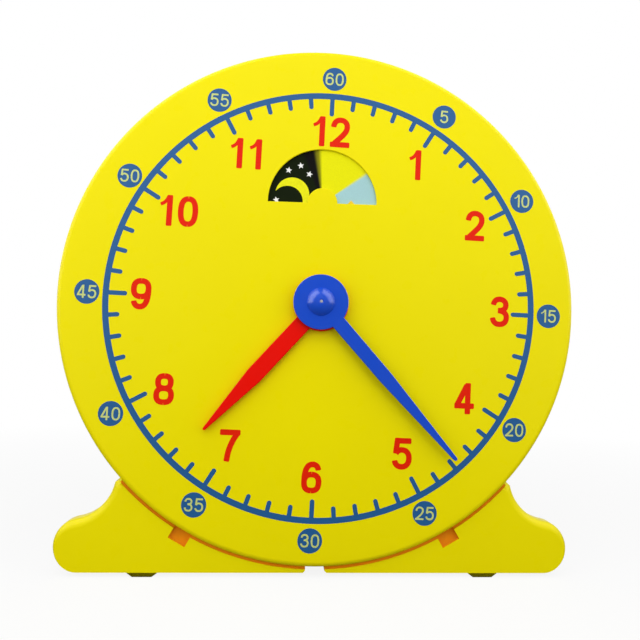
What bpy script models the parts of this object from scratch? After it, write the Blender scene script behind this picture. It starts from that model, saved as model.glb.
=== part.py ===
"""Teaching clock: a large moulded dial with geared hands and a day and night window, on two clip-in feet.

Units are metres. The clock faces -Y, +X is to the right seen from the front and +Z is up.
The origin is on the table, under the middle of the whole clock.
In each mesh, local Y is the depth behind the face of the dial.
"""

import math

import bmesh
import bpy

MM = 0.001

# Fits
FIT_GAP = 0.3 * MM  # between pieces that are pressed, screwed or glued together
RUN_GAP = 0.3 * MM  # between pieces that turn or slide on each other
OVERRUN = 1.0 * MM  # how far a cutter passes a face, and how far a joined feature is rooted

# Case
DIAL_DIAMETER = 300 * MM
CASE_DEPTH = 24 * MM
WALL = 2.5 * MM
RIM_FILLET = 3.5 * MM
FACE_RIB_CLEARANCE = 11 * MM
FACE_RIB_HEIGHT = 6 * MM
FACE_RIB_WIDTH = 2 * MM
CENTRE_SEAT_WIDTH = 4.5 * MM

# Day and night window
WINDOW_RISE = 58.5 * MM
WINDOW_RADIUS = 31.8 * MM
WINDOW_BOSS_RADIUS = 8.8 * MM
WINDOW_EDGE = 1 * MM
DISC_MARGIN = 4 * MM
DISC_THICKNESS = 0.6 * MM
DISC_HOLE_MARGIN = 1.2 * MM
POCKET_MARGIN = 1 * MM

# Wheel train
MINUTE_TEETH = 10
INTERMEDIATE_WHEEL_TEETH = 30
INTERMEDIATE_PINION_TEETH = 10
HOUR_TEETH = 40
DAY_NIGHT_TEETH = 80
PRESSURE_ANGLE = math.radians(25)
ADDENDUM_SHARE = 0.8
DEDENDUM_SHARE = 1.05
BACKLASH = 0.25 * MM
WHEEL_SETBACK = 2.1 * MM
WHEEL_THICKNESS = 4 * MM
WHEEL_SPACING = 1 * MM
WEB_THICKNESS = 2 * MM
WHEEL_RIM_WIDTH = 3.5 * MM
WHEEL_HUB_WIDTH = 3.5 * MM
FLANGE_RADIUS = 8 * MM
FLANGE_THICKNESS = 1.2 * MM

# Arbor, pipe and posts
ARBOR_RADIUS = 3 * MM
ARBOR_FLAT_SHARE = 0.75
PIPE_WALL = 2.5 * MM
INTERMEDIATE_POST_RADIUS = 2.4 * MM
DAY_NIGHT_POST_RADIUS = 4 * MM
POST_SEAT_WIDTH = 2.2 * MM
WASHER_OVERLAP = 3 * MM
WASHER_THICKNESS = 0.8 * MM
SPRING_WIDTH = 4 * MM
SPRING_THICKNESS = 0.5 * MM
SPRING_WAVE = 0.5 * MM
SPRING_WAVES = 3

# Hands
HUB_RADIUS = 15.75 * MM
HAND_THICKNESS = 2.4 * MM
HAND_CHAMFER = 0.4 * MM
FACE_TO_HOUR_HAND = 1.2 * MM
HOUR_TO_MINUTE_HAND = 0.6 * MM
MINUTE_LENGTH = 118.2 * MM
MINUTE_ROOT_WIDTH = 8.1 * MM
MINUTE_KNEE_WIDTH = 7.8 * MM
MINUTE_TIP_WIDTH = 2.2 * MM
MINUTE_KNEE_SHARE = 0.478
HOUR_LENGTH = 97.2 * MM
HOUR_ROOT_WIDTH = 9.8 * MM
HOUR_KNEE_WIDTH = 9.7 * MM
HOUR_TIP_WIDTH = 1.7 * MM
HOUR_KNEE_SHARE = 0.577
HOUR_ASIDE = -0.75 * MM
HOUR_ALONG = 0.4 * MM
DOME_RADIUS = 8 * MM
DOME_HEIGHT = 4.4 * MM
SOCKET_ROOF = 1.6 * MM
MINUTE_ANGLE = math.radians(138.2)
HOUR_ANGLE = math.radians(221.8)

# Setting knob
KNOB_RADIUS = 18 * MM
KNOB_DEPTH = 12 * MM
KNOB_LOBES = 9
KNOB_FLUTE = 1.6 * MM
KNOB_CHAMFER = 1.2 * MM
KNOB_STANDOFF = 0.8 * MM
KNOB_WEB = 1.8 * MM

# Screws
COVER_SCREWS = 6
COVER_SCREW_INSET = 22 * MM
COVER_SCREW_TURN_SHARE = 0.5
COVER_BOSS_WALL = 2.7 * MM
COVER_SHANK_RADIUS = 1.5 * MM
COVER_HEAD_RADIUS = 3.4 * MM
COVER_HEAD_HEIGHT = 2.2 * MM
COVER_SCREW_LENGTH = 12 * MM
SMALL_SHANK_RADIUS = 1 * MM
SMALL_HEAD_RADIUS = 2.3 * MM
SMALL_HEAD_HEIGHT = 1.5 * MM
SMALL_SCREW_LENGTH = 7 * MM
PILOT_SPARE = 1 * MM

# Rear cover
BEARING_WALL = 4 * MM
COVER_RIB_RADIUS = 90 * MM
COVER_RIB_HEIGHT = 3 * MM
COVER_RIB_WIDTH = 2 * MM
COVER_STEP_RADIUS = 46 * MM
COVER_STEP_HEIGHT = 0.6 * MM

# Feet
FOOT_SPAN_INSET = 2.9 * MM
FOOT_GAP = 10.9 * MM
FOOT_WEB = 3.3 * MM
FOOT_SETBACK = 3 * MM
FOOT_BODY_DEPTH = 11 * MM
FOOT_END_RADIUS = 14.4 * MM
FOOT_NECK_RADIUS = 26.3 * MM
FOOT_SLOPE = math.radians(11.8)
FOOT_TIP_ANGLE = math.radians(47.6)
FOOT_TIP_WIDTH = 4.5 * MM
FOOT_FILLET = 4.5 * MM
FOOT_CORNER = 1.2 * MM
PAD_INSET = 50.3 * MM
PAD_HEIGHT = 2.5 * MM
PAD_TOP_WIDTH = 17.9 * MM
PAD_BOTTOM_WIDTH = 10.8 * MM
PAD_SETBACK = 0.5 * MM
SKID_REACH = 46 * MM
SKID_RISE = 8 * MM
SKID_END_RISE = 4 * MM
TONGUE_ANGLE = math.radians(29.8)
TONGUE_WIDTH = 10 * MM
TONGUE_SETBACK = 8 * MM
TONGUE_THICKNESS = 2.4 * MM
HOOK_LENGTH = 2.6 * MM
HOOK_PROUD = 0.8 * MM
NOTCH_WIDTH = 10.8 * MM
NOTCH_DEPTH = 7.4 * MM
NOTCH_FLOOR = 2.8 * MM
RELIEF_WIDTH = 1.4 * MM
RELIEF_DEPTH = 1 * MM
RELIEF_REACH = math.radians(3)
GUSSET_MARGIN = 2 * MM
CHEEK_HEIGHT = 8 * MM
CHEEK_START = math.radians(16)
CHEEK_END = math.radians(44)
SHELF_MARGIN = math.radians(1)

# Facets
CASE_SEGMENTS = 72
WHEEL_SEGMENTS = 32
SHAFT_SEGMENTS = 24
SCREW_SEGMENTS = 14
PINION_FLANK_STEPS = 3
WHEEL_FLANK_STEPS = 2
FILLET_STEPS = 3
LOBE_STEPS = 8
SHARP_ANGLE = math.radians(30)
FLAT_NORMAL_SHARE = 0.999
MERGE_SHARE = 0.001  # of the overrun, for the points of a turned profile that meet on its axis

# Places that follow from the sizes above
DIAL_RADIUS = DIAL_DIAMETER / 2
RIM_INNER_RADIUS = DIAL_RADIUS - WALL
SADDLE_RADIUS = DIAL_RADIUS + FIT_GAP
FOOT_DROP = SADDLE_RADIUS + FOOT_WEB
FOOT_HALF_SPAN = DIAL_RADIUS - FOOT_SPAN_INSET
PAD_OFFSET = FOOT_HALF_SPAN - PAD_INSET
DIAL_CENTRE_HEIGHT = FOOT_DROP + PAD_HEIGHT
FOOT_BODY_REAR = FOOT_SETBACK + FOOT_BODY_DEPTH
FOOT_REAR = FOOT_SETBACK + SKID_REACH

DISC_FRONT = WINDOW_EDGE + RUN_GAP
CARRIER_FRONT = DISC_FRONT + DISC_THICKNESS + FIT_GAP
WHEEL_FRONT = WALL + WHEEL_SETBACK
WHEEL_BACK = WHEEL_FRONT + WHEEL_THICKNESS
SECOND_FRONT = WHEEL_BACK + WHEEL_SPACING
SECOND_BACK = SECOND_FRONT + WHEEL_THICKNESS
SEAT_DEPTH = WHEEL_FRONT - RUN_GAP
PINION_FRONT = WHEEL_BACK + WHEEL_SPACING / 2
PINION_BACK = SECOND_BACK + WHEEL_SPACING / 2
FLANGE_BACK = PINION_BACK + FLANGE_THICKNESS
SPRING_MIDDLE = FLANGE_BACK + FIT_GAP + SPRING_WAVE + SPRING_THICKNESS / 2
BEARING_FRONT = SPRING_MIDDLE + SPRING_WAVE + SPRING_THICKNESS / 2 + FIT_GAP
COVER_FRONT = CASE_DEPTH - WALL
COVER_RADIUS = RIM_INNER_RADIUS - FIT_GAP

TRAIN_MODULE = 2 * WINDOW_RISE / (HOUR_TEETH + DAY_NIGHT_TEETH)
TRAIN_CENTRES = TRAIN_MODULE * (HOUR_TEETH + INTERMEDIATE_PINION_TEETH) / 2
FIRST_MODULE = 2 * TRAIN_CENTRES / (MINUTE_TEETH + INTERMEDIATE_WHEEL_TEETH)
WHEEL_REACH = WINDOW_RISE + TRAIN_MODULE * (DAY_NIGHT_TEETH / 2 + ADDENDUM_SHARE)
FACE_RIB_INNER = WHEEL_REACH + FACE_RIB_CLEARANCE
FACE_RIB_OUTER = FACE_RIB_INNER + FACE_RIB_WIDTH

ARBOR_BORE = ARBOR_RADIUS + RUN_GAP
ARBOR_FLAT = ARBOR_FLAT_SHARE * ARBOR_RADIUS
PIPE_RADIUS = ARBOR_BORE + PIPE_WALL
PIPE_HOLE = PIPE_RADIUS + RUN_GAP
DAY_NIGHT_SEAT_RADIUS = DAY_NIGHT_POST_RADIUS + POST_SEAT_WIDTH
DISC_INNER = DAY_NIGHT_SEAT_RADIUS + DISC_HOLE_MARGIN
DISC_OUTER = WINDOW_RADIUS + DISC_MARGIN
COVER_PILOT_RADIUS = COVER_SHANK_RADIUS + FIT_GAP
SMALL_PILOT_RADIUS = SMALL_SHANK_RADIUS + FIT_GAP

HOUR_HAND_BACK = -FACE_TO_HOUR_HAND
HOUR_HAND_FRONT = HOUR_HAND_BACK - HAND_THICKNESS
MINUTE_HAND_BACK = HOUR_HAND_FRONT - HOUR_TO_MINUTE_HAND
MINUTE_HAND_FRONT = MINUTE_HAND_BACK - HAND_THICKNESS
DOME_TOP = MINUTE_HAND_FRONT - DOME_HEIGHT
SOCKET_END = DOME_TOP + SOCKET_ROOF
ARBOR_FRONT = SOCKET_END + FIT_GAP
KNOB_FRONT = CASE_DEPTH + COVER_STEP_HEIGHT + KNOB_STANDOFF
KNOB_BACK = KNOB_FRONT + KNOB_DEPTH
KNOB_SEAT = KNOB_BACK - SMALL_HEAD_HEIGHT - FIT_GAP
ARBOR_BACK = KNOB_SEAT - KNOB_WEB - FIT_GAP

FACE_Y = -(FOOT_REAR + DOME_TOP) / 2


def polar(angle, radius):
    """Point in the plane of the dial, with the angle clockwise from straight up, seen from the front."""
    return (radius * math.sin(angle), radius * math.cos(angle))


def circle(radius, segments):
    """Outline of a round."""
    return [polar(2 * math.pi * step / segments, radius) for step in range(segments)]


def arc(radius, start, end, steps):
    """Points of an arc about the middle, both ends included."""
    return [polar(start + (end - start) * step / steps, radius) for step in range(steps + 1)]


def flatted_circle(radius, flat, segments):
    """Outline of a shaft with one flat, which lies at that distance above the middle."""
    start = math.acos(flat / radius)
    return arc(radius, start, 2 * math.pi - start, segments)


def gear_outline(teeth, module, first_tooth, flank_steps):
    """Spur wheel with involute flanks above the base circle and radial flanks below it."""
    pitch_radius = module * teeth / 2
    base_radius = pitch_radius * math.cos(PRESSURE_ANGLE)
    tip_radius = pitch_radius + ADDENDUM_SHARE * module
    root_radius = pitch_radius - DEDENDUM_SHARE * module
    half_tooth = (math.pi * module / 2 - BACKLASH) / (2 * pitch_radius)
    widest = half_tooth + math.tan(PRESSURE_ANGLE) - PRESSURE_ANGLE
    flank_start = max(base_radius, root_radius)
    flank = []
    if root_radius < base_radius:
        flank.append((root_radius, widest))
    for step in range(flank_steps + 1):
        radius = flank_start + (tip_radius - flank_start) * step / flank_steps
        roll = math.acos(base_radius / radius)
        flank.append((radius, widest - math.tan(roll) + roll))
    outline = []
    for tooth in range(teeth):
        middle = first_tooth + 2 * math.pi * tooth / teeth
        outline += [polar(middle - angle, radius) for radius, angle in flank]
        outline += [polar(middle + angle, radius) for radius, angle in reversed(flank)]
    return outline


def hand_outline(length, widths, knee_share, offset, inset):
    """Hand that points up: a round hub, an almost parallel blade and a long taper with a round tip.

    The whole hand can stand off to one side of the axis that it turns on.
    """
    root_width, knee_width, tip_width = widths
    hub = HUB_RADIUS - inset
    root = root_width / 2 - inset
    tip = tip_width / 2 - inset / 2
    root_angle = math.asin(root / hub)
    points = arc(hub, root_angle, 2 * math.pi - root_angle, SHAFT_SEGMENTS * 2)
    points.append((-(knee_width / 2 - inset), length * knee_share))
    tip_centre = length - inset - tip
    points += [(x, tip_centre + z) for x, z in arc(tip, -math.pi / 2, math.pi / 2, FILLET_STEPS * 2)]
    points.append((knee_width / 2 - inset, length * knee_share))
    return [(x + offset[0], z + offset[1]) for x, z in points]


def foot_outline(side, top_inset, side_inset):
    """Front view of a foot about the dial centre, its top and its other sides moved in by the insets.

    The saddle is an arc about the dial centre. The outer end is a round, which a straight slope
    joins to a hollow neck round. The neck ends in a short blunt edge on the saddle.
    """
    bottom = -FOOT_DROP + side_inset
    saddle = SADDLE_RADIUS + side_inset
    normal = (math.sin(FOOT_SLOPE), math.cos(FOOT_SLOPE))
    along = (math.cos(FOOT_SLOPE), -math.sin(FOOT_SLOPE))
    end = (FOOT_HALF_SPAN - FOOT_END_RADIUS, -FOOT_DROP + FOOT_END_RADIUS)
    tip = polar(math.pi - FOOT_TIP_ANGLE, SADDLE_RADIUS + FOOT_TIP_WIDTH)
    reach = FOOT_END_RADIUS + FOOT_NECK_RADIUS
    from_tip = (end[0] + reach * normal[0] - tip[0], end[1] + reach * normal[1] - tip[1])
    forward = from_tip[0] * along[0] + from_tip[1] * along[1]
    inside = forward ** 2 - from_tip[0] ** 2 - from_tip[1] ** 2 + FOOT_NECK_RADIUS ** 2
    back = forward - math.sqrt(max(inside, 0.0))
    neck = (end[0] + reach * normal[0] - back * along[0], end[1] + reach * normal[1] - back * along[1])
    neck_radius = FOOT_NECK_RADIUS + top_inset

    blunt = saddle + FOOT_TIP_WIDTH
    distance = math.hypot(*neck)
    spread = math.acos((distance ** 2 + blunt ** 2 - neck_radius ** 2) / (2 * distance * blunt))
    tip_angle = math.atan2(neck[0], neck[1]) + spread
    tip_point = polar(tip_angle, blunt)

    points = []
    if saddle > -bottom:
        points.append((math.sqrt(saddle ** 2 - bottom ** 2), bottom))
    else:
        inner = FOOT_GAP / 2 + side_inset
        points.append((inner, -math.sqrt(saddle ** 2 - inner ** 2)))
        points.append((inner, bottom + FOOT_CORNER))
        points.append((inner + FOOT_CORNER, bottom))

    end_steps = 4 * FILLET_STEPS
    for step in range(end_steps + 1):
        share = step / end_steps
        inset = side_inset + (top_inset - side_inset) * share * share * (3 - 2 * share)
        angle = math.pi - (math.pi - FOOT_SLOPE) * share
        x, z = polar(angle, FOOT_END_RADIUS - inset)
        points.append((end[0] + x, end[1] + z))

    neck_start = math.pi + FOOT_SLOPE
    neck_end = math.atan2(tip_point[0] - neck[0], tip_point[1] - neck[1]) % (2 * math.pi)
    neck_steps = 3 * FILLET_STEPS
    for x, z in arc(neck_radius, neck_start, neck_end, neck_steps):
        points.append((neck[0] + x, neck[1] + z))

    last = math.atan2(points[0][0], points[0][1])
    saddle_steps = 4 * FILLET_STEPS
    points += arc(saddle, tip_angle, last, saddle_steps)[:-1]
    return [(side * x, z) for x, z in points]


def skid_section(rise):
    """Section of the standing skid, which narrows below the foot and rises to the given height inside it."""
    sole = -FOOT_DROP - PAD_HEIGHT
    top = -FOOT_DROP + rise
    return [(-PAD_BOTTOM_WIDTH / 2, sole), (PAD_BOTTOM_WIDTH / 2, sole), (PAD_TOP_WIDTH / 2, -FOOT_DROP),
            (PAD_TOP_WIDTH / 2, top), (-PAD_TOP_WIDTH / 2, top), (-PAD_TOP_WIDTH / 2, -FOOT_DROP)]


def ring_sector(inner, outer, start, end, steps):
    """Outline between two radii and two angles."""
    return arc(outer, start, end, steps) + arc(inner, end, start, steps)


def knob_outline(inset):
    """Round with shallow finger flutes."""
    points = []
    steps = KNOB_LOBES * LOBE_STEPS
    for step in range(steps):
        angle = 2 * math.pi * step / steps
        flute = KNOB_FLUTE * (1 - math.cos(KNOB_LOBES * angle)) / 2
        points.append(polar(angle, KNOB_RADIUS - inset - flute))
    return points


def plastic(name, colour, roughness, metallic=0.0):
    """Plain material for one moulding colour or metal."""
    material = bpy.data.materials.new(name)
    material.use_nodes = True
    shader = material.node_tree.nodes["Principled BSDF"]
    shader.inputs["Base Color"].default_value = (*colour, 1.0)
    shader.inputs["Roughness"].default_value = roughness
    shader.inputs["Metallic"].default_value = metallic
    return material


def object_from(name, mesh_builder, material, parent):
    """Object with its faces pointing out, the faces square to its axis flat and its round faces smooth."""
    bmesh.ops.recalc_face_normals(mesh_builder, faces=mesh_builder.faces)
    for face in mesh_builder.faces:
        face.smooth = abs(face.normal.y) < FLAT_NORMAL_SHARE
    mesh = bpy.data.meshes.new(name)
    mesh_builder.to_mesh(mesh)
    mesh_builder.free()
    mesh.set_sharp_from_angle(angle=SHARP_ANGLE)
    if material:
        mesh.materials.append(material)
    piece = bpy.data.objects.new(name, mesh)
    bpy.context.collection.objects.link(piece)
    piece.parent = parent
    return piece


def add_loft(mesh_builder, layers, x=0.0, z=0.0):
    """Closed body through outlines with equal point counts, each given with its depth."""
    rings = []
    for depth, outline in layers:
        rings.append([mesh_builder.verts.new((x + px, depth, z + pz)) for px, pz in outline])
    for front, back in zip(rings, rings[1:]):
        for index, vertex in enumerate(front):
            after = (index + 1) % len(front)
            mesh_builder.faces.new((vertex, front[after], back[after], back[index]))
    mesh_builder.faces.new(rings[0])
    mesh_builder.faces.new(rings[-1])


def add_turned(mesh_builder, profile, segments, x=0.0, z=0.0):
    """Closed body of revolution about a line along Y, from (radius, depth) points.

    A profile that starts and ends on the axis makes a solid round, any other is closed to a ring.
    """
    vertices = [mesh_builder.verts.new((x + radius, depth, z)) for radius, depth in profile]
    pairs = list(zip(vertices, vertices[1:]))
    if profile[0][0] > 0:
        pairs.append((vertices[-1], vertices[0]))
    edges = [mesh_builder.edges.new(pair) for pair in pairs]
    bmesh.ops.spin(mesh_builder, geom=vertices + edges, cent=(x, 0, z), axis=(0, 1, 0),
                   angle=2 * math.pi, steps=segments, use_merge=True)
    near = MERGE_SHARE * OVERRUN
    on_axis = [vert for vert in mesh_builder.verts if math.hypot(vert.co.x - x, vert.co.z - z) < near]
    bmesh.ops.remove_doubles(mesh_builder, verts=on_axis, dist=near)


def add_slab(mesh_builder, profile, angle, width):
    """Bar across a radius: (radius, depth) points, carried sideways by the width."""
    out = polar(angle, 1.0)
    across = (out[1], -out[0])
    rings = []
    for offset in (-width / 2, width / 2):
        ring = []
        for radius, depth in profile:
            ring.append(mesh_builder.verts.new((out[0] * radius + across[0] * offset, depth,
                                                out[1] * radius + across[1] * offset)))
        rings.append(ring)
    for index, vertex in enumerate(rings[0]):
        after = (index + 1) % len(profile)
        mesh_builder.faces.new((vertex, rings[0][after], rings[1][after], rings[1][index]))
    mesh_builder.faces.new(rings[0])
    mesh_builder.faces.new(rings[1])


def box_profile(low, high, front, back):
    """Rectangle of (radius, depth) points."""
    return [(low, front), (high, front), (high, back), (low, back)]


def combine(target, tool, operation):
    """Cut the tool from the target, or join it on."""
    modifier = target.modifiers.new(tool.name, "BOOLEAN")
    modifier.operation = operation
    modifier.object = tool
    modifier.solver = "EXACT"
    tool.hide_render = True
    tool.display_type = "WIRE"


def settle(piece):
    """Apply the piece's cuts and joins, remove their tools and crease the new edges."""
    tools = [modifier.object for modifier in piece.modifiers]
    if not tools:
        return
    graph = bpy.context.evaluated_depsgraph_get()
    mesh = bpy.data.meshes.new_from_object(piece.evaluated_get(graph))
    mesh.name = piece.name
    mesh.set_sharp_from_angle(angle=SHARP_ANGLE)
    piece.modifiers.clear()
    piece.data = mesh
    for tool in tools:
        bpy.data.objects.remove(tool, do_unlink=True)


def axis_empty(name, parent, x=0.0, y=0.0, z=0.0, turn=0.0):
    """Empty that carries the pieces of one axis."""
    empty = bpy.data.objects.new(name, None)
    bpy.context.collection.objects.link(empty)
    empty.parent = parent
    empty.location = (x, y, z)
    empty.rotation_euler = (0, turn, 0)
    return empty


def post_profile(seat_radius, post_radius, post_end):
    """Stepped post on the back of the dial: a seat that the wheel rubs on, and the post it turns on."""
    return [(0, WALL - OVERRUN), (seat_radius, WALL - OVERRUN), (seat_radius, SEAT_DEPTH),
            (post_radius, SEAT_DEPTH), (post_radius, post_end), (0, post_end)]


def rim_profile():
    """Section of the dial moulding from its centre hole to its rim."""
    centre_seat = PIPE_HOLE + CENTRE_SEAT_WIDTH
    profile = [(PIPE_HOLE, 0)]
    for radius, depth in arc(RIM_FILLET, 0, math.pi / 2, FILLET_STEPS):
        profile.append((DIAL_RADIUS - RIM_FILLET + radius, RIM_FILLET - depth))
    profile += [(DIAL_RADIUS, CASE_DEPTH), (RIM_INNER_RADIUS, CASE_DEPTH), (RIM_INNER_RADIUS, WALL)]
    profile += [(FACE_RIB_OUTER, WALL), (FACE_RIB_OUTER, WALL + FACE_RIB_HEIGHT)]
    profile += [(FACE_RIB_INNER, WALL + FACE_RIB_HEIGHT), (FACE_RIB_INNER, WALL)]
    profile += [(centre_seat, WALL), (centre_seat, SEAT_DEPTH), (PIPE_HOLE, SEAT_DEPTH)]
    return profile


def cover_screw_places():
    """Places of the rear cover's screws in the plane of the dial."""
    pitch = 2 * math.pi / COVER_SCREWS
    first = pitch * COVER_SCREW_TURN_SHARE
    return [polar(first + pitch * index, DIAL_RADIUS - COVER_SCREW_INSET) for index in range(COVER_SCREWS)]


def make_front_dial(frame, material):
    """Dial, rim, window, screw bosses and wheel posts, moulded in one piece."""
    shell = bmesh.new()
    add_turned(shell, rim_profile(), CASE_SEGMENTS)
    dial = object_from("front_dial", shell, material, frame)

    boss_back = COVER_FRONT - FIT_GAP
    boss_radius = COVER_PILOT_RADIUS + COVER_BOSS_WALL
    added = bmesh.new()
    for x, z in cover_screw_places():
        add_turned(added, [(0, WALL - OVERRUN), (boss_radius, WALL - OVERRUN), (boss_radius, boss_back),
                           (0, boss_back)], SCREW_SEGMENTS, x, z)
    add_turned(added, post_profile(INTERMEDIATE_POST_RADIUS + POST_SEAT_WIDTH / 2, INTERMEDIATE_POST_RADIUS,
                                   SECOND_BACK + RUN_GAP), SHAFT_SEGMENTS, 0, -TRAIN_CENTRES)
    add_turned(added, post_profile(DAY_NIGHT_SEAT_RADIUS, DAY_NIGHT_POST_RADIUS,
                                   WHEEL_BACK + RUN_GAP), SHAFT_SEGMENTS, 0, WINDOW_RISE)
    combine(dial, object_from("dial_bosses", added, None, frame), "UNION")

    pocket = bmesh.new()
    add_turned(pocket, box_profile(DISC_INNER - DISC_HOLE_MARGIN / 2, DISC_OUTER + POCKET_MARGIN,
                                   WINDOW_EDGE, WALL + OVERRUN), 2 * WHEEL_SEGMENTS, 0, WINDOW_RISE)
    combine(dial, object_from("dial_pocket", pocket, None, frame), "DIFFERENCE")

    cuts = bmesh.new()
    window = [(x, WINDOW_RISE + z) for x, z in
              ring_sector(WINDOW_BOSS_RADIUS, WINDOW_RADIUS, -math.pi / 2, math.pi / 2, SHAFT_SEGMENTS)]
    add_loft(cuts, [(-OVERRUN, window), (WINDOW_EDGE + OVERRUN / 2, window)])
    grip = COVER_SCREW_LENGTH - WALL
    for x, z in cover_screw_places():
        add_loft(cuts, [(boss_back - grip - PILOT_SPARE, circle(COVER_PILOT_RADIUS, SCREW_SEGMENTS)),
                        (boss_back + OVERRUN, circle(COVER_PILOT_RADIUS, SCREW_SEGMENTS))], x, z)
    small_grip = SMALL_SCREW_LENGTH - WASHER_THICKNESS
    for z, post_end in ((-TRAIN_CENTRES, SECOND_BACK + RUN_GAP), (WINDOW_RISE, WHEEL_BACK + RUN_GAP)):
        add_loft(cuts, [(post_end - small_grip, circle(SMALL_PILOT_RADIUS, SCREW_SEGMENTS)),
                        (post_end + OVERRUN, circle(SMALL_PILOT_RADIUS, SCREW_SEGMENTS))], 0, z)
    for side in (-1, 1):
        add_slab(cuts, box_profile(RIM_INNER_RADIUS - OVERRUN, DIAL_RADIUS + OVERRUN,
                                   FOOT_SETBACK + TONGUE_SETBACK - FIT_GAP,
                                   FOOT_SETBACK + TONGUE_SETBACK + TONGUE_THICKNESS + HOOK_PROUD + FIT_GAP),
                 math.pi - side * TONGUE_ANGLE, TONGUE_WIDTH + 2 * FIT_GAP)
    combine(dial, object_from("dial_cuts", cuts, None, frame), "DIFFERENCE")


def make_rear_cover(frame, material):
    """Flat cover set into the back of the rim, with a bearing for the arbor."""
    bearing_radius = ARBOR_BORE + BEARING_WALL
    rib_inner = COVER_RIB_RADIUS - COVER_RIB_WIDTH / 2
    rib_outer = COVER_RIB_RADIUS + COVER_RIB_WIDTH / 2
    step_back = CASE_DEPTH + COVER_STEP_HEIGHT
    profile = [(ARBOR_BORE, BEARING_FRONT), (bearing_radius, BEARING_FRONT), (bearing_radius, COVER_FRONT),
               (rib_inner, COVER_FRONT), (rib_inner, COVER_FRONT - COVER_RIB_HEIGHT),
               (rib_outer, COVER_FRONT - COVER_RIB_HEIGHT), (rib_outer, COVER_FRONT),
               (COVER_RADIUS, COVER_FRONT), (COVER_RADIUS, CASE_DEPTH),
               (COVER_STEP_RADIUS, CASE_DEPTH), (COVER_STEP_RADIUS - COVER_STEP_HEIGHT, step_back),
               (ARBOR_BORE, step_back)]
    plate = bmesh.new()
    add_turned(plate, profile, CASE_SEGMENTS)
    cover = object_from("rear_cover", plate, material, frame)
    holes = bmesh.new()
    for x, z in cover_screw_places():
        add_loft(holes, [(COVER_FRONT - OVERRUN, circle(COVER_PILOT_RADIUS, SCREW_SEGMENTS)),
                         (CASE_DEPTH + OVERRUN, circle(COVER_PILOT_RADIUS, SCREW_SEGMENTS))], x, z)
    combine(cover, object_from("cover_holes", holes, None, frame), "DIFFERENCE")


def make_foot(name, side, frame, material):
    """Hollow foot, open behind, with a saddle set back at the front, a snap tongue, a rear cheek and a skid."""
    layers = []
    for step in range(FILLET_STEPS + 1):
        turn = math.pi / 2 * step / FILLET_STEPS
        layers.append((FOOT_SETBACK + FOOT_FILLET * (1 - math.cos(turn)),
                       foot_outline(side, FOOT_FILLET * (1 - math.sin(turn)), 0.0)))
    layers.append((FOOT_BODY_REAR, foot_outline(side, 0.0, 0.0)))
    body = bmesh.new()
    add_loft(body, layers)
    foot = object_from(name, body, material, frame)

    hollow = bmesh.new()
    inner = foot_outline(side, WALL, WALL)
    add_loft(hollow, [(FOOT_SETBACK + WALL, inner), (FOOT_BODY_REAR + OVERRUN, inner)])
    combine(foot, object_from(name + "_hollow", hollow, None, frame), "DIFFERENCE")

    angle = math.pi - side * TONGUE_ANGLE
    tongue_front = FOOT_SETBACK + TONGUE_SETBACK
    tongue_back = tongue_front + TONGUE_THICKNESS
    notch_floor = FOOT_SETBACK + NOTCH_FLOOR
    root = SADDLE_RADIUS + OVERRUN
    lip = RIM_INNER_RADIUS - FIT_GAP
    added = bmesh.new()
    add_slab(added, [(root, tongue_front), (root, tongue_back), (lip, tongue_back),
                     (lip, tongue_back + HOOK_PROUD), (RIM_INNER_RADIUS - HOOK_LENGTH, tongue_back),
                     (RIM_INNER_RADIUS - HOOK_LENGTH, tongue_front)], angle, TONGUE_WIDTH)
    gusset_start = SADDLE_RADIUS + WALL - OVERRUN / 2
    add_slab(added, box_profile(gusset_start, SADDLE_RADIUS + NOTCH_DEPTH + GUSSET_MARGIN,
                                notch_floor - OVERRUN, tongue_back), angle, NOTCH_WIDTH + 2 * GUSSET_MARGIN)
    cheek_back = CASE_DEPTH + FIT_GAP + WALL
    cheek = ring_sector(SADDLE_RADIUS - CHEEK_HEIGHT, SADDLE_RADIUS + OVERRUN,
                        math.pi - side * CHEEK_START, math.pi - side * CHEEK_END, 2 * FILLET_STEPS)
    add_loft(added, [(CASE_DEPTH + FIT_GAP, cheek), (cheek_back, cheek)])
    low = OVERRUN
    skid = ((FOOT_SETBACK + PAD_SETBACK, low), (FOOT_BODY_REAR - SKID_RISE / 2, low),
            (FOOT_BODY_REAR, SKID_RISE), (FOOT_REAR, SKID_END_RISE))
    add_loft(added, [(depth, skid_section(rise)) for depth, rise in skid], side * PAD_OFFSET)
    combine(foot, object_from(name + "_clips", added, None, frame), "UNION")

    shelf = bmesh.new()
    band = ring_sector(SADDLE_RADIUS + FIT_GAP, SADDLE_RADIUS + WALL - FIT_GAP,
                       math.pi - side * (CHEEK_START - SHELF_MARGIN),
                       math.pi - side * (CHEEK_END + SHELF_MARGIN), 2 * FILLET_STEPS)
    add_loft(shelf, [(FOOT_BODY_REAR - OVERRUN, band), (cheek_back - FIT_GAP, band)])
    combine(foot, object_from(name + "_shelf", shelf, None, frame), "UNION")

    notch = bmesh.new()
    add_slab(notch, box_profile(SADDLE_RADIUS - OVERRUN, SADDLE_RADIUS + NOTCH_DEPTH,
                                FOOT_SETBACK - OVERRUN, notch_floor), angle, NOTCH_WIDTH)
    combine(foot, object_from(name + "_notch", notch, None, frame), "DIFFERENCE")

    relief = bmesh.new()
    groove = ring_sector(SADDLE_RADIUS - OVERRUN, SADDLE_RADIUS + RELIEF_WIDTH, math.pi,
                         math.pi - side * (FOOT_TIP_ANGLE + RELIEF_REACH), 4 * FILLET_STEPS)
    add_loft(relief, [(FOOT_SETBACK - OVERRUN, groove), (FOOT_SETBACK + RELIEF_DEPTH, groove)])
    combine(foot, object_from(name + "_relief", relief, None, frame), "DIFFERENCE")


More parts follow.
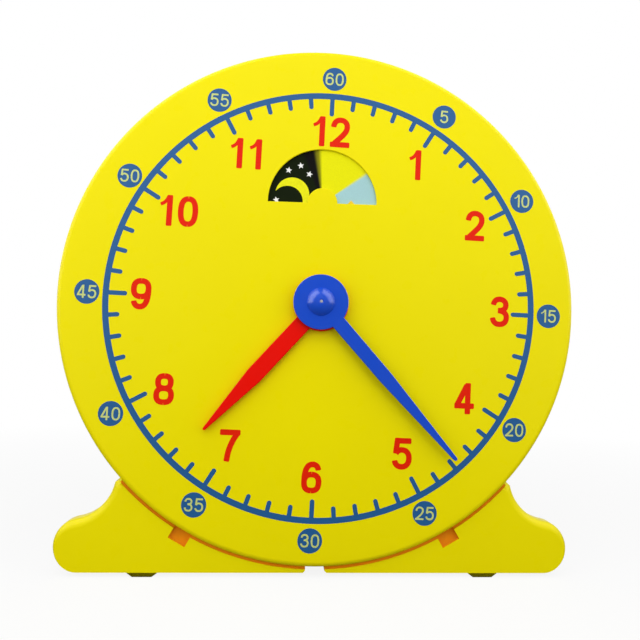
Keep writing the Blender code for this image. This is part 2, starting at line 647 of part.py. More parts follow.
def make_hand(name, length, widths, knee_share, offset, front, back, axis, material):
    """Flat moulded hand with a small chamfer round its front edge."""
    blade = bmesh.new()
    full = hand_outline(length, widths, knee_share, offset, 0.0)
    add_loft(blade, [(front, hand_outline(length, widths, knee_share, offset, HAND_CHAMFER)),
                     (front + HAND_CHAMFER, full), (back, full)])
    return object_from(name, blade, material, axis)


def make_hour_hand(axis, material):
    """Hour hand, pushed onto the end of the hour wheel's pipe through a bore a little off the hub's middle."""
    hand = make_hand("hour_hand", HOUR_LENGTH, (HOUR_ROOT_WIDTH, HOUR_KNEE_WIDTH, HOUR_TIP_WIDTH),
                     HOUR_KNEE_SHARE, (HOUR_ASIDE, HOUR_ALONG), HOUR_HAND_FRONT, HOUR_HAND_BACK, axis, material)
    bore = bmesh.new()
    outline = circle(PIPE_RADIUS + FIT_GAP, SHAFT_SEGMENTS)
    add_loft(bore, [(HOUR_HAND_FRONT - OVERRUN, outline), (HOUR_HAND_BACK + OVERRUN, outline)])
    combine(hand, object_from("hour_hand_bore", bore, None, axis), "DIFFERENCE")


def make_minute_hand(axis, material):
    """Minute hand with a domed centre, its socket pushed onto the flatted end of the arbor."""
    hand = make_hand("minute_hand", MINUTE_LENGTH, (MINUTE_ROOT_WIDTH, MINUTE_KNEE_WIDTH, MINUTE_TIP_WIDTH),
                     MINUTE_KNEE_SHARE, (0, 0), MINUTE_HAND_FRONT, MINUTE_HAND_BACK, axis, material)
    ball_radius = (DOME_RADIUS ** 2 + DOME_HEIGHT ** 2) / (2 * DOME_HEIGHT)
    half_angle = math.asin(DOME_RADIUS / ball_radius)
    ball_centre = DOME_TOP + ball_radius
    root = MINUTE_HAND_FRONT + OVERRUN
    profile = [(0, root), (DOME_RADIUS, root)]
    for radius, rise in arc(ball_radius, half_angle, 0, 2 * FILLET_STEPS):
        profile.append((radius, ball_centre - rise))
    profile[-1] = (0, DOME_TOP)
    dome = bmesh.new()
    add_turned(dome, profile, SHAFT_SEGMENTS)
    combine(hand, object_from("minute_hand_dome", dome, None, axis), "UNION")
    socket = bmesh.new()
    outline = flatted_circle(ARBOR_RADIUS + FIT_GAP, ARBOR_FLAT + FIT_GAP, SHAFT_SEGMENTS)
    add_loft(socket, [(SOCKET_END, outline), (MINUTE_HAND_BACK + OVERRUN, outline)])
    combine(hand, object_from("minute_hand_socket", socket, None, axis), "DIFFERENCE")


def make_minute_arbor(axis, material):
    """Shaft from the minute hand to the setting knob, flatted where the hand, pinion and knob drive it."""
    profile = [(0, ARBOR_FRONT), (ARBOR_RADIUS, ARBOR_FRONT), (ARBOR_RADIUS, ARBOR_BACK), (0, ARBOR_BACK)]
    shaft = bmesh.new()
    add_turned(shaft, profile, SHAFT_SEGMENTS)
    arbor = object_from("minute_arbor", shaft, material, axis)
    cuts = bmesh.new()
    flats = ((ARBOR_FRONT - OVERRUN, MINUTE_HAND_BACK), (PINION_FRONT, FLANGE_BACK),
             (KNOB_FRONT, ARBOR_BACK + OVERRUN))
    for front, back in flats:
        add_slab(cuts, box_profile(ARBOR_FLAT, ARBOR_RADIUS + OVERRUN, front, back), 0.0,
                 2 * ARBOR_RADIUS + OVERRUN)
    add_loft(cuts, [(ARBOR_BACK - SMALL_SCREW_LENGTH, circle(SMALL_PILOT_RADIUS, SCREW_SEGMENTS)),
                    (ARBOR_BACK + OVERRUN / 2, circle(SMALL_PILOT_RADIUS, SCREW_SEGMENTS))])
    combine(arbor, object_from("arbor_flats", cuts, None, axis), "DIFFERENCE")


def make_minute_pinion(axis, material):
    """Pinion on the arbor, with a rear flange that the friction spring presses on."""
    teeth = gear_outline(MINUTE_TEETH, FIRST_MODULE, math.pi - MINUTE_ANGLE, PINION_FLANK_STEPS)
    body = bmesh.new()
    add_loft(body, [(PINION_FRONT, teeth), (PINION_BACK, teeth)])
    pinion = object_from("minute_pinion", body, material, axis)
    flange = bmesh.new()
    outline = circle(FLANGE_RADIUS, WHEEL_SEGMENTS)
    add_loft(flange, [(PINION_BACK - WHEEL_SPACING / 4, outline), (FLANGE_BACK, outline)])
    combine(pinion, object_from("pinion_flange", flange, None, axis), "UNION")
    bore = bmesh.new()
    outline = flatted_circle(ARBOR_RADIUS + FIT_GAP, ARBOR_FLAT + FIT_GAP, SHAFT_SEGMENTS)
    add_loft(bore, [(PINION_FRONT - OVERRUN, outline), (FLANGE_BACK + OVERRUN, outline)])
    combine(pinion, object_from("pinion_bore", bore, None, axis), "DIFFERENCE")


def cut_web(wheel, root_radius, hub_radius, front, back, axis):
    """Thin the wheel between its hub and its rim, from the given face."""
    recess = bmesh.new()
    rim_radius = root_radius - WHEEL_RIM_WIDTH
    add_turned(recess, box_profile(hub_radius, rim_radius, front, back), 2 * WHEEL_SEGMENTS)
    combine(wheel, object_from(wheel.name + "_web", recess, None, axis), "DIFFERENCE")


def make_hour_wheel(axis, material):
    """Hour wheel with the pipe that carries the hour hand through the dial."""
    half_pitch = math.pi / HOUR_TEETH
    teeth = gear_outline(HOUR_TEETH, TRAIN_MODULE, math.pi + half_pitch - HOUR_ANGLE, WHEEL_FLANK_STEPS)
    body = bmesh.new()
    add_loft(body, [(WHEEL_FRONT, teeth), (WHEEL_BACK, teeth)])
    wheel = object_from("hour_wheel", body, material, axis)
    pipe = bmesh.new()
    outline = circle(PIPE_RADIUS, SHAFT_SEGMENTS)
    add_loft(pipe, [(HOUR_HAND_FRONT, outline), (WHEEL_FRONT + OVERRUN, outline)])
    combine(wheel, object_from("hour_pipe", pipe, None, axis), "UNION")
    root_radius = TRAIN_MODULE * (HOUR_TEETH / 2 - DEDENDUM_SHARE)
    cut_web(wheel, root_radius, PIPE_RADIUS + WHEEL_HUB_WIDTH / 2, WHEEL_FRONT + WEB_THICKNESS,
            WHEEL_BACK + OVERRUN / 4, axis)
    bore = bmesh.new()
    outline = circle(ARBOR_BORE, SHAFT_SEGMENTS)
    add_loft(bore, [(HOUR_HAND_FRONT - OVERRUN, outline), (WHEEL_BACK + OVERRUN, outline)])
    combine(wheel, object_from("hour_pipe_bore", bore, None, axis), "DIFFERENCE")


def make_intermediate_gear(axis, material):
    """Wheel and pinion in one moulding, which turns on a post below the dial centre."""
    half_pitch = math.pi / INTERMEDIATE_WHEEL_TEETH
    wheel_teeth = gear_outline(INTERMEDIATE_WHEEL_TEETH, FIRST_MODULE, half_pitch, WHEEL_FLANK_STEPS)
    pinion_teeth = gear_outline(INTERMEDIATE_PINION_TEETH, TRAIN_MODULE, 0.0, PINION_FLANK_STEPS)
    body = bmesh.new()
    add_loft(body, [(SECOND_FRONT, wheel_teeth), (SECOND_BACK, wheel_teeth)])
    gear = object_from("intermediate_gear", body, material, axis)
    pinion = bmesh.new()
    add_loft(pinion, [(WHEEL_FRONT, pinion_teeth), (SECOND_FRONT + OVERRUN, pinion_teeth)])
    combine(gear, object_from("intermediate_pinion", pinion, None, axis), "UNION")
    bore = bmesh.new()
    outline = circle(INTERMEDIATE_POST_RADIUS + RUN_GAP, SHAFT_SEGMENTS)
    add_loft(bore, [(WHEEL_FRONT - OVERRUN, outline), (SECOND_BACK + OVERRUN, outline)])
    combine(gear, object_from("intermediate_bore", bore, None, axis), "DIFFERENCE")


def make_day_night_wheel(axis, material):
    """Wheel that turns once a day, with a raised seat that carries the disc up to the window."""
    teeth = gear_outline(DAY_NIGHT_TEETH, TRAIN_MODULE, math.pi, WHEEL_FLANK_STEPS)
    body = bmesh.new()
    add_loft(body, [(WHEEL_FRONT, teeth), (WHEEL_BACK, teeth)])
    wheel = object_from("day_night_wheel", body, material, axis)
    carrier = bmesh.new()
    add_turned(carrier, box_profile(DISC_INNER, DISC_OUTER, CARRIER_FRONT, WHEEL_FRONT + OVERRUN),
               2 * WHEEL_SEGMENTS)
    combine(wheel, object_from("day_night_carrier", carrier, None, axis), "UNION")
    root_radius = TRAIN_MODULE * (DAY_NIGHT_TEETH / 2 - DEDENDUM_SHARE)
    cut_web(wheel, root_radius, DAY_NIGHT_POST_RADIUS + RUN_GAP + WHEEL_HUB_WIDTH,
            WHEEL_FRONT + WEB_THICKNESS, WHEEL_BACK + OVERRUN, axis)
    bore = bmesh.new()
    outline = circle(DAY_NIGHT_POST_RADIUS + RUN_GAP, SHAFT_SEGMENTS)
    add_loft(bore, [(WHEEL_FRONT - OVERRUN, outline), (WHEEL_BACK + OVERRUN, outline)])
    combine(wheel, object_from("day_night_bore", bore, None, axis), "DIFFERENCE")


def make_day_night_disc(axis, material):
    """Printed disc stuck to the front of its wheel, with a hole that clears the post's seat."""
    disc = bmesh.new()
    add_turned(disc, box_profile(DISC_INNER, DISC_OUTER, DISC_FRONT, DISC_FRONT + DISC_THICKNESS),
               2 * WHEEL_SEGMENTS)
    object_from("day_night_disc", disc, material, axis)


def make_washer(name, post_radius, front, axis, material):
    """Flat washer that the post's screw holds against the end of the post."""
    washer = bmesh.new()
    add_turned(washer, box_profile(SMALL_PILOT_RADIUS, post_radius + RUN_GAP + WASHER_OVERLAP,
                                   front, front + WASHER_THICKNESS), SHAFT_SEGMENTS)
    object_from(name, washer, material, axis)


def screw_profile(shank_radius, head_radius, head_height, length):
    """Pan-head screw seated at zero depth, with its point towards the front."""
    point_length = 2 * shank_radius
    return [(0, -length), (shank_radius, -length + point_length), (shank_radius, 0), (head_radius, 0),
            (head_radius, head_height / 2), (head_radius / 2, head_height), (0, head_height)]


def make_screw(name, sizes, frame, material, x, seat, z):
    """One screw, its head against the given seat depth."""
    body = bmesh.new()
    add_turned(body, screw_profile(*sizes), SCREW_SEGMENTS)
    screw = object_from(name, body, material, frame)
    screw.location = (x, seat, z)


def make_friction_spring(axis, material):
    """Wave washer between the pinion's flange and the rear cover's bearing."""
    inner = ARBOR_BORE
    outer = ARBOR_BORE + SPRING_WIDTH
    segments = 3 * FILLET_STEPS * SPRING_WAVES
    spring = bmesh.new()
    rings = []
    for step in range(segments):
        angle = 2 * math.pi * step / segments
        middle = SPRING_MIDDLE + SPRING_WAVE * math.cos(SPRING_WAVES * angle)
        ring = []
        for radius, side in ((inner, -1), (outer, -1), (outer, 1), (inner, 1)):
            x, z = polar(angle, radius)
            ring.append(spring.verts.new((x, middle + side * SPRING_THICKNESS / 2, z)))
        rings.append(ring)
    for index, ring in enumerate(rings):
        after = rings[(index + 1) % segments]
        for corner in range(4):
            following = (corner + 1) % 4
            spring.faces.new((ring[corner], ring[following], after[following], after[corner]))
    object_from("friction_spring", spring, material, axis)


def make_setting_knob(axis, material):
    """Fluted knob behind the case, held on the end of the arbor by a screw."""
    body = bmesh.new()
    add_loft(body, [(KNOB_FRONT, knob_outline(0.0)), (KNOB_BACK - KNOB_CHAMFER, knob_outline(0.0)),
                    (KNOB_BACK, knob_outline(KNOB_CHAMFER))])
    knob = object_from("setting_knob", body, material, axis)
    cuts = bmesh.new()
    outline = flatted_circle(ARBOR_RADIUS + FIT_GAP, ARBOR_FLAT + FIT_GAP, SHAFT_SEGMENTS)
    add_loft(cuts, [(KNOB_FRONT - OVERRUN, outline), (ARBOR_BACK + FIT_GAP, outline)])
    combine(knob, object_from("knob_bore", cuts, None, axis), "DIFFERENCE")
    recess = bmesh.new()
    head_hole = SMALL_HEAD_RADIUS + FIT_GAP
    add_turned(recess, [(0, ARBOR_BACK), (SMALL_PILOT_RADIUS, ARBOR_BACK), (SMALL_PILOT_RADIUS, KNOB_SEAT),
                        (head_hole, KNOB_SEAT), (head_hole, KNOB_BACK + OVERRUN), (0, KNOB_BACK + OVERRUN)],
               SHAFT_SEGMENTS)
    combine(knob, object_from("knob_recess", recess, None, axis), "DIFFERENCE")


def make_clock():
    """All the pieces, each on its own axis."""
    for startup_object in list(bpy.data.objects):
        bpy.data.objects.remove(startup_object, do_unlink=True)

    yellow = plastic("yellow_moulding", (0.84, 0.74, 0.0), 0.32)
    blue = plastic("blue_moulding", (0.012, 0.07, 0.55), 0.35)
    red = plastic("red_moulding", (0.8, 0.01, 0.005), 0.35)
    white = plastic("white_gearing", (0.85, 0.85, 0.82), 0.45)
    card = plastic("printed_card", (0.7, 0.8, 0.75), 0.6)
    steel = plastic("steel", (0.6, 0.6, 0.62), 0.3, 1.0)

    frame = axis_empty("case_frame", None, 0.0, FACE_Y, DIAL_CENTRE_HEIGHT)
    minute_axis = axis_empty("minute_axis", frame, turn=MINUTE_ANGLE)
    hour_axis = axis_empty("hour_axis", frame, turn=HOUR_ANGLE)
    intermediate_axis = axis_empty("intermediate_axis", frame, z=-TRAIN_CENTRES)
    day_night_axis = axis_empty("day_night_axis", frame, z=WINDOW_RISE)

    make_front_dial(frame, yellow)
    make_rear_cover(frame, yellow)
    make_foot("left_foot", -1, frame, yellow)
    make_foot("right_foot", 1, frame, yellow)

    make_hour_hand(hour_axis, red)
    make_hour_wheel(hour_axis, white)
    make_minute_hand(minute_axis, blue)
    make_minute_arbor(minute_axis, steel)
    make_minute_pinion(minute_axis, white)
    make_friction_spring(minute_axis, steel)
    make_setting_knob(minute_axis, blue)
    make_intermediate_gear(intermediate_axis, white)
    make_day_night_wheel(day_night_axis, white)
    make_day_night_disc(day_night_axis, card)

    small_screw = (SMALL_SHANK_RADIUS, SMALL_HEAD_RADIUS, SMALL_HEAD_HEIGHT, SMALL_SCREW_LENGTH)
    cover_screw = (COVER_SHANK_RADIUS, COVER_HEAD_RADIUS, COVER_HEAD_HEIGHT, COVER_SCREW_LENGTH)
    make_screw("knob_screw", small_screw, minute_axis, steel, 0.0, KNOB_SEAT + FIT_GAP, 0.0)
    posts = (("intermediate", INTERMEDIATE_POST_RADIUS, SECOND_BACK, intermediate_axis),
             ("day_night", DAY_NIGHT_POST_RADIUS, WHEEL_BACK, day_night_axis))
    for name, post_radius, wheel_back, axis in posts:
        washer_front = wheel_back + RUN_GAP + FIT_GAP
        screw_seat = washer_front + WASHER_THICKNESS + FIT_GAP
        make_washer(name + "_washer", post_radius, washer_front, axis, steel)
        make_screw(name + "_screw", small_screw, axis, steel, 0.0, screw_seat, 0.0)
    for index, (x, z) in enumerate(cover_screw_places()):
        make_screw(f"cover_screw_{index + 1}", cover_screw, frame, steel, x, CASE_DEPTH + FIT_GAP, z)

    pieces = [thing for thing in bpy.data.objects if thing.type == "MESH" and not thing.hide_render]
    for piece in pieces:
        settle(piece)


make_clock()
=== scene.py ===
"""Looks of a teaching clock: a yellow dial with geared hands and a day and night window, on two feet."""

import math

import bmesh
import bpy
import numpy as np
from mathutils import Matrix, Vector
from mathutils.geometry import delaunay_2d_cdt


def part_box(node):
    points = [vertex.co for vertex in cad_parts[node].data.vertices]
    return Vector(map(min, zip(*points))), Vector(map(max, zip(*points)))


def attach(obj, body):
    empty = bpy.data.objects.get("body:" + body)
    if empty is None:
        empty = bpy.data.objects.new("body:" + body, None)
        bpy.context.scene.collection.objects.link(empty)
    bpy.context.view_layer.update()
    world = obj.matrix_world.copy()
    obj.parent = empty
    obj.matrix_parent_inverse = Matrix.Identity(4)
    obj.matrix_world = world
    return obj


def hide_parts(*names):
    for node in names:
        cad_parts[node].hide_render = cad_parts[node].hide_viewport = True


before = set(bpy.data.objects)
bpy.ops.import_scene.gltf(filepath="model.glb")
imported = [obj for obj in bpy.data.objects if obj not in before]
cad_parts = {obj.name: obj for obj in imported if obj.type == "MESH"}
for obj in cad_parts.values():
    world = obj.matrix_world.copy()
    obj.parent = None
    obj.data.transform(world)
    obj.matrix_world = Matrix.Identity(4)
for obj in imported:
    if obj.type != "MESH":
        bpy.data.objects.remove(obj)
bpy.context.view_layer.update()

# Camera
# The photograph looks at the dial almost square on, from a little below and to the left of its centre.

MM = 0.001

CAMERA_PLACE = (-18.9 * MM, -363.9 * MM, 125.5 * MM)
CAMERA_TURN = (93.42, -1.18, -3.2)
CAMERA_LENS = 33.75
CAMERA_SENSOR = 36.0

camera_data = bpy.data.cameras.new("photo_camera")
camera_data.lens = CAMERA_LENS
camera_data.sensor_width = CAMERA_SENSOR
camera_data.clip_start = 10 * MM
camera = bpy.data.objects.new("photo_camera", camera_data)
camera.location = CAMERA_PLACE
camera.rotation_euler = [math.radians(angle) for angle in CAMERA_TURN]
bpy.context.scene.collection.objects.link(camera)
bpy.context.scene.camera = camera


# Studio
# A pale table that sweeps up behind the clock, and an even fill from the room. Each side has a soft box that
# shows in the gloss and, further forward, one that lights the dial.

bpy.context.scene.view_settings.view_transform = "Standard"

SWEEP_HALF_WIDTH = 6.0
SWEEP_FRONT = -3.0
SWEEP_BACK = 2.5
SWEEP_RADIUS = 1.2
SWEEP_HEIGHT = 4.0
SWEEP_COLOUR = (0.86, 0.86, 0.86)
SWEEP_BOUNCE = (0.26, 0.26, 0.26)
SWEEP_GLOW = (0.88, 1.0)
SWEEP_GLOW_REACH = (0.15, 0.8)
SWEEP_LIT_FROM = (0.0, 0.6)
ROOM_FILL = 0.455
ROOM_LIT_FROM = (0.1, 0.6)


def grid_faces(rows, columns, closed=False):
    """Quads between neighbours of a grid of points, the last column joined to the first if closed."""
    wide = columns if closed else columns - 1
    row, column = np.meshgrid(np.arange(rows - 1), np.arange(wide), indexing="ij")
    after = (column + 1) % columns
    here, below = row * columns, (row + 1) * columns
    corners = [here + column, here + after, below + after, below + column]
    return np.stack(corners, axis=-1).reshape(-1, 4).tolist()


def studio_sweep():
    """Flat table, quarter round and upright wall: one profile along Y and Z, carried straight along X."""
    turn = np.linspace(0, math.pi / 2, 24)
    y = np.concatenate([[SWEEP_FRONT], SWEEP_BACK + SWEEP_RADIUS * np.sin(turn), [SWEEP_BACK + SWEEP_RADIUS]])
    z = np.concatenate([[0.0], SWEEP_RADIUS * (1 - np.cos(turn)), [SWEEP_HEIGHT]])
    x = np.array([-SWEEP_HALF_WIDTH, SWEEP_HALF_WIDTH])
    points = np.stack(np.broadcast_arrays(x[None, :], y[:, None], z[:, None]), axis=-1).reshape(-1, 3)
    mesh = bpy.data.meshes.new("studio_sweep")
    mesh.from_pydata(points.tolist(), [], grid_faces(len(y), 2))
    mesh.shade_smooth()
    sweep = bpy.data.objects.new("studio_sweep", mesh)
    bpy.context.scene.collection.objects.link(sweep)
    return sweep


def node(tree, kind, *sources, operation=None, **values):
    """A new node's outputs. Its inputs are linked in their order, and others are set by name."""
    made = tree.nodes.new("ShaderNode" + kind)
    if operation:
        made.operation = operation
    for source, entry in zip(sources, made.inputs):
        tree.links.new(source, entry)
    for name, value in values.items():
        made.inputs[name].default_value = value
    return made.outputs


def larger(tree, first, second):
    """The larger of two values."""
    return node(tree, "Math", first, second, operation="MAXIMUM")[0]


def ranged(tree, value, low, high, start=0.3, end=0.7):
    """The value carried from one range to another."""
    limits = {"From Min": start, "From Max": end, "To Min": low, "To Max": high}
    return node(tree, "MapRange", value, **limits)["Result"]


def mixed(tree, kind, factor, first, second):
    """Mix of two colours or numbers, each a plain value or another node's output, by a factor."""
    mix = tree.nodes.new("ShaderNodeMix")
    mix.data_type = kind
    for socket, source in (("Factor", factor), ("A", first), ("B", second)):
        entry = next(each for each in mix.inputs if each.name == socket and each.enabled)
        if isinstance(source, bpy.types.NodeSocket):
            tree.links.new(source, entry)
        else:
            entry.default_value = (*source, 1.0) if isinstance(source, tuple) else source
    return next(each for each in mix.outputs if each.enabled)


def lit_behind(tree, place, reach):
    """Light that grows from none to full along Y, over a reach behind the clock."""
    return ranged(tree, node(tree, "SeparateXYZ", place)["Y"], 0.0, 1.0, *reach)


def length_of(tree, place):
    """Distance of a place from the origin."""
    return node(tree, "VectorMath", place, operation="LENGTH")["Value"]


def ray_kinds(tree):
    """Whether a ray comes from the camera, and whether it comes from a gloss or through a clear part."""
    rays = node(tree, "LightPath")
    return rays["Is Camera Ray"], larger(tree, rays["Is Glossy Ray"], rays["Is Transmission Ray"])


def sweep_paper():
    """White paper that keeps the clock's shadow and shows as white to the camera and through clear parts.

    A gloss sees it dark in front of the clock, where the studio is unlit.
    """
    material = bpy.data.materials.new("sweep_paper")
    material.use_nodes = True
    tree = material.node_tree
    tree.nodes.remove(tree.nodes["Principled BSDF"])
    by_camera, in_gloss = ray_kinds(tree)
    seen = larger(tree, by_camera, in_gloss)
    paper = node(tree, "BsdfDiffuse", mixed(tree, "RGBA", seen, SWEEP_BOUNCE, SWEEP_COLOUR))[0]
    place = node(tree, "TexCoord")["Object"]
    glow = tree.nodes.new("ShaderNodeEmission")
    strength = mixed(tree, "FLOAT", in_gloss, 1.0, lit_behind(tree, place, SWEEP_LIT_FROM))
    tree.links.new(strength, glow.inputs["Strength"])
    shown = ranged(tree, length_of(tree, place), *SWEEP_GLOW, *SWEEP_GLOW_REACH)
    share = mixed(tree, "FLOAT", seen, 0.0, mixed(tree, "FLOAT", in_gloss, shown, 1.0))
    both = node(tree, "MixShader", share, paper, glow.outputs[0])[0]
    tree.links.new(both, tree.nodes["Material Output"].inputs["Surface"])
    return material


sweep = studio_sweep()
sweep.data.materials.append(sweep_paper())


def room_light():
    """World: white to the camera, dark in a gloss on the camera's side, an even grey fill on the object."""
    world = bpy.data.worlds.new("studio_room")
    world.use_nodes = True
    bpy.context.scene.world = world
    tree = world.node_tree
    by_camera, in_gloss = ray_kinds(tree)
    behind = lit_behind(tree, node(tree, "TexCoord")["Generated"], ROOM_LIT_FROM)
    unseen = mixed(tree, "FLOAT", in_gloss, ROOM_FILL, behind)
    background = tree.nodes["Background"]
    tree.links.new(mixed(tree, "FLOAT", by_camera, unseen, 1.0), background.inputs["Strength"])
    background.inputs["Color"].default_value = (1.0, 1.0, 1.0, 1.0)


room_light()


def soft_box(name, turn, tilt, distance, size, power, in_gloss):
    """Area lamp that faces the dial's centre, at a turn about the dial's axis and a tilt away from it.

    Its width runs along the turn and its depth along the tilt. It shows in a gloss or lights surfaces.
    """
    turn, tilt = math.radians(turn), math.radians(tilt)
    outward = Vector((math.sin(turn) * math.sin(tilt), -math.cos(tilt), math.cos(turn) * math.sin(tilt)))
    across = Vector((0.0, 1.0, 0.0)).cross(outward).normalized()
    lamp_data = bpy.data.lights.new(name, "AREA")
    lamp_data.shape = "RECTANGLE"
    lamp_data.size, lamp_data.size_y = size
    lamp_data.energy = power
    lamp = bpy.data.objects.new(name, lamp_data)
    lamp.matrix_world = Matrix((across, outward.cross(across), outward)).transposed().to_4x4()
    lamp.location = AIM + outward * distance
    lamp.visible_glossy = in_gloss
    lamp.visible_diffuse = not in_gloss
    bpy.context.scene.collection.objects.link(lamp)


dial_low, dial_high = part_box("front_dial")
FACE_Y = dial_low.y
CENTRE_Z = (dial_low.z + dial_high.z) / 2
AIM = Vector((0.0, FACE_Y, CENTRE_Z))
GLOSS_SIZE = (0.62, 0.36)
GLOSS_TILT = 80.0
GLOSS_DISTANCE = 0.37
LIGHT_SIZE = (0.8, 0.5)
LIGHT_TILT = 48.0
LIGHT_DISTANCE = 0.36

soft_box("left_gloss_box", -53.0, GLOSS_TILT, GLOSS_DISTANCE, GLOSS_SIZE, 2.7, True)
soft_box("right_gloss_box", 50.0, GLOSS_TILT, GLOSS_DISTANCE, GLOSS_SIZE, 2.3, True)
soft_box("left_light_box", -55.0, LIGHT_TILT, LIGHT_DISTANCE, LIGHT_SIZE, 1.34, False)
soft_box("right_light_box", 52.0, LIGHT_TILT, LIGHT_DISTANCE, LIGHT_SIZE, 1.15, False)


# Dial moulding
# The yellow face, its rounded rim and the half-round window are one injection moulding in glossy plastic.
# Posts and screw bosses stand on its back, and the two feet and the rear cover are fixed to it.

DIAL_RADIUS = (dial_high.x - dial_low.x) / 2
CASE_DEPTH = 24 * MM
WALL = 2.5 * MM
RIM_FILLET = 3.5 * MM
EDGE_BREAK = 0.35 * MM
CENTRE_HOLE = 6.1 * MM
CENTRE_SEAT = 10.6 * MM
SEAT_DEPTH = 4.3 * MM
RIB_INNER = 109.28 * MM
RIB_OUTER = 111.28 * MM
RIB_DEPTH = 8.5 * MM
WINDOW_RISE = 58.5 * MM
WINDOW_RADIUS = 31.8 * MM
WINDOW_BOSS = 8.8 * MM
WINDOW_FILLET = 0.35 * MM
WINDOW_EDGE = 1 * MM
POCKET_INNER = 6.8 * MM
POCKET_OUTER = 36.8 * MM
WINDOW_POST = 4 * MM
WINDOW_POST_SEAT = 6.2 * MM
WINDOW_POST_END = 8.9 * MM
GEAR_POST_DROP = 24.375 * MM
GEAR_POST = 2.4 * MM
GEAR_POST_SEAT = 3.5 * MM
GEAR_POST_END = 13.9 * MM
SCREW_CIRCLE = 128 * MM
SCREW_BOSS = 4.5 * MM
SCREW_BOSS_END = 21.2 * MM
SCREW_ANGLES = np.radians(30 + 60 * np.arange(6))
ROUND_STEPS = 288
POST_STEPS = 48
BORE_STEPS = 72
CREASE = math.radians(32)
STITCH = 1e-8
WELD = 0.002 * MM

YELLOW = (0.90, 0.785, 0.0)
YELLOW_SHADE = (0.885, 0.765, 0.0)


def polar(angle, radius):
    """Points in the plane of the dial, with angles clockwise from straight up."""
    return np.stack(np.broadcast_arrays(radius * np.sin(angle), radius * np.cos(angle)), axis=-1)


def full_turn(count):
    """Equal steps of one full turn, without its end."""
    return np.arange(count) * 2 * math.pi / count


def at_depth(outline, depth):
    """Points (x, z) of the dial's plane, set back by a depth along Y."""
    depth = np.broadcast_to(depth, outline.shape[:-1])
    return np.stack([outline[..., 0], depth, outline[..., 1]], axis=-1)


def turned(profile, count, centre=(0.0, 0.0)):
    """Each (radius, depth) of the profile is carried round its axis: (r sin a, depth, r cos a)."""
    profile = np.asarray(profile, float)
    outline = polar(full_turn(count)[None, :], profile[:, :1]) + np.asarray(centre)
    points = at_depth(outline, profile[:, 1:])
    return points.reshape(-1, 3), grid_faces(len(profile), count, closed=True)


def lofted(rings):
    """Skin over closed rings of points with equal counts."""
    rings = np.asarray(rings)
    return rings.reshape(-1, 3), grid_faces(*rings.shape[:2], closed=True)


def filled(loops):
    """Triangles over the plane inside any of the loops, and for each triangle the loops that it lies in.

    A loop whose signed area, half the sum of x z' - x' z, is negative is walked the other way round.
    """
    loops = [np.asarray(loop, float) for loop in loops]
    nexts = [np.roll(loop, -1, axis=0) for loop in loops]
    areas = [np.sum(loop[:, 0] * after[:, 1] - after[:, 0] * loop[:, 1]) for loop, after in zip(loops, nexts)]
    loops = [loop[::-1] if area < 0 else loop for loop, area in zip(loops, areas)]
    starts = np.cumsum([0] + [len(loop) for loop in loops])
    faces = [list(range(start, end)) for start, end in zip(starts, starts[1:])]
    points = [Vector(point) for point in np.concatenate(loops).tolist()]
    found = delaunay_2d_cdt(points, [], faces, 1, STITCH)
    inside = [(face, sources) for face, sources in zip(found[2], found[5]) if sources]
    return np.array([point[:] for point in found[0]]), inside


def sheet(outline, holes, depth):
    """Flat area inside the outline and outside its holes, at one depth."""
    points, triangles = filled([outline, *holes])
    return at_depth(points, depth), [face for face, sources in triangles if sources == [0]]


def rounded(outline, radius, start, steps=6, away=1):
    """Rings over a quarter round: the inset is r (1 - sin a), and the depth goes by r (1 - cos a)."""
    turn = np.linspace(0, math.pi / 2, steps)
    return [at_depth(outline(radius * (1 - math.sin(step))), start + away * radius * (1 - math.cos(step)))
            for step in turn]


def moulding(name, patches, material):
    """One object from patches of points and faces: stitched where they meet and faced outwards."""
    counts = np.cumsum([0] + [len(points) for points, faces in patches])
    points = np.concatenate([points for points, faces in patches]) + np.array([0.0, FACE_Y, CENTRE_Z])
    faces = [[corner + start for corner in face]
             for start, (_, own_faces) in zip(counts, patches) for face in own_faces]
    mesh = bpy.data.meshes.new(name)
    mesh.from_pydata(points.tolist(), [], faces)
    cleaned(mesh, lambda work: bmesh.ops.recalc_face_normals(work, faces=work.faces))
    return finished(name, mesh, material)


def cleaned(mesh, last_step):
    """Welds the mesh's doubles and does one more step on it."""
    work = bmesh.new()
    work.from_mesh(mesh)
    bmesh.ops.remove_doubles(work, verts=work.verts, dist=WELD)
    last_step(work)
    work.to_mesh(mesh)
    work.free()


def finished(name, mesh, material=None):
    """Object for a mesh, shaded smooth up to the crease angle, with its flat faces kept flat."""
    mesh.shade_smooth()
    mesh.set_sharp_from_angle(angle=CREASE)
    if material:
        mesh.materials.append(material)
    piece = bpy.data.objects.new(name, mesh)
    bpy.context.scene.collection.objects.link(piece)
    weighting = piece.modifiers.new("flat_faces", "WEIGHTED_NORMAL")
    weighting.keep_sharp = True
    return piece


def fit(piece, body, slot, *nodes):
    """The piece rides on a body and stands for CAD nodes, which it hides. The slot argument is not used."""
    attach(piece, body)
    if nodes:
        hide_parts(*nodes)


def window_outline(offset):
    """Half ring: the offset widens the outer arc, narrows the boss arc and lowers the straight edges."""
    outer = WINDOW_RADIUS + offset
    boss = WINDOW_BOSS - offset
    over = math.pi / 2 + math.asin(offset / outer)
    under = math.pi / 2 + math.asin(offset / boss)
    arcs = [polar(np.linspace(-over, over, 121), outer), polar(np.linspace(under, -under, 61), boss)]
    return np.concatenate(arcs) + np.array([0.0, WINDOW_RISE])


def solid_round(radius, front, back, place):
    """Plain closed cylinder on the back of the dial."""
    return turned([(0, front), (radius, front), (radius, back), (0, back)], POST_STEPS, place)


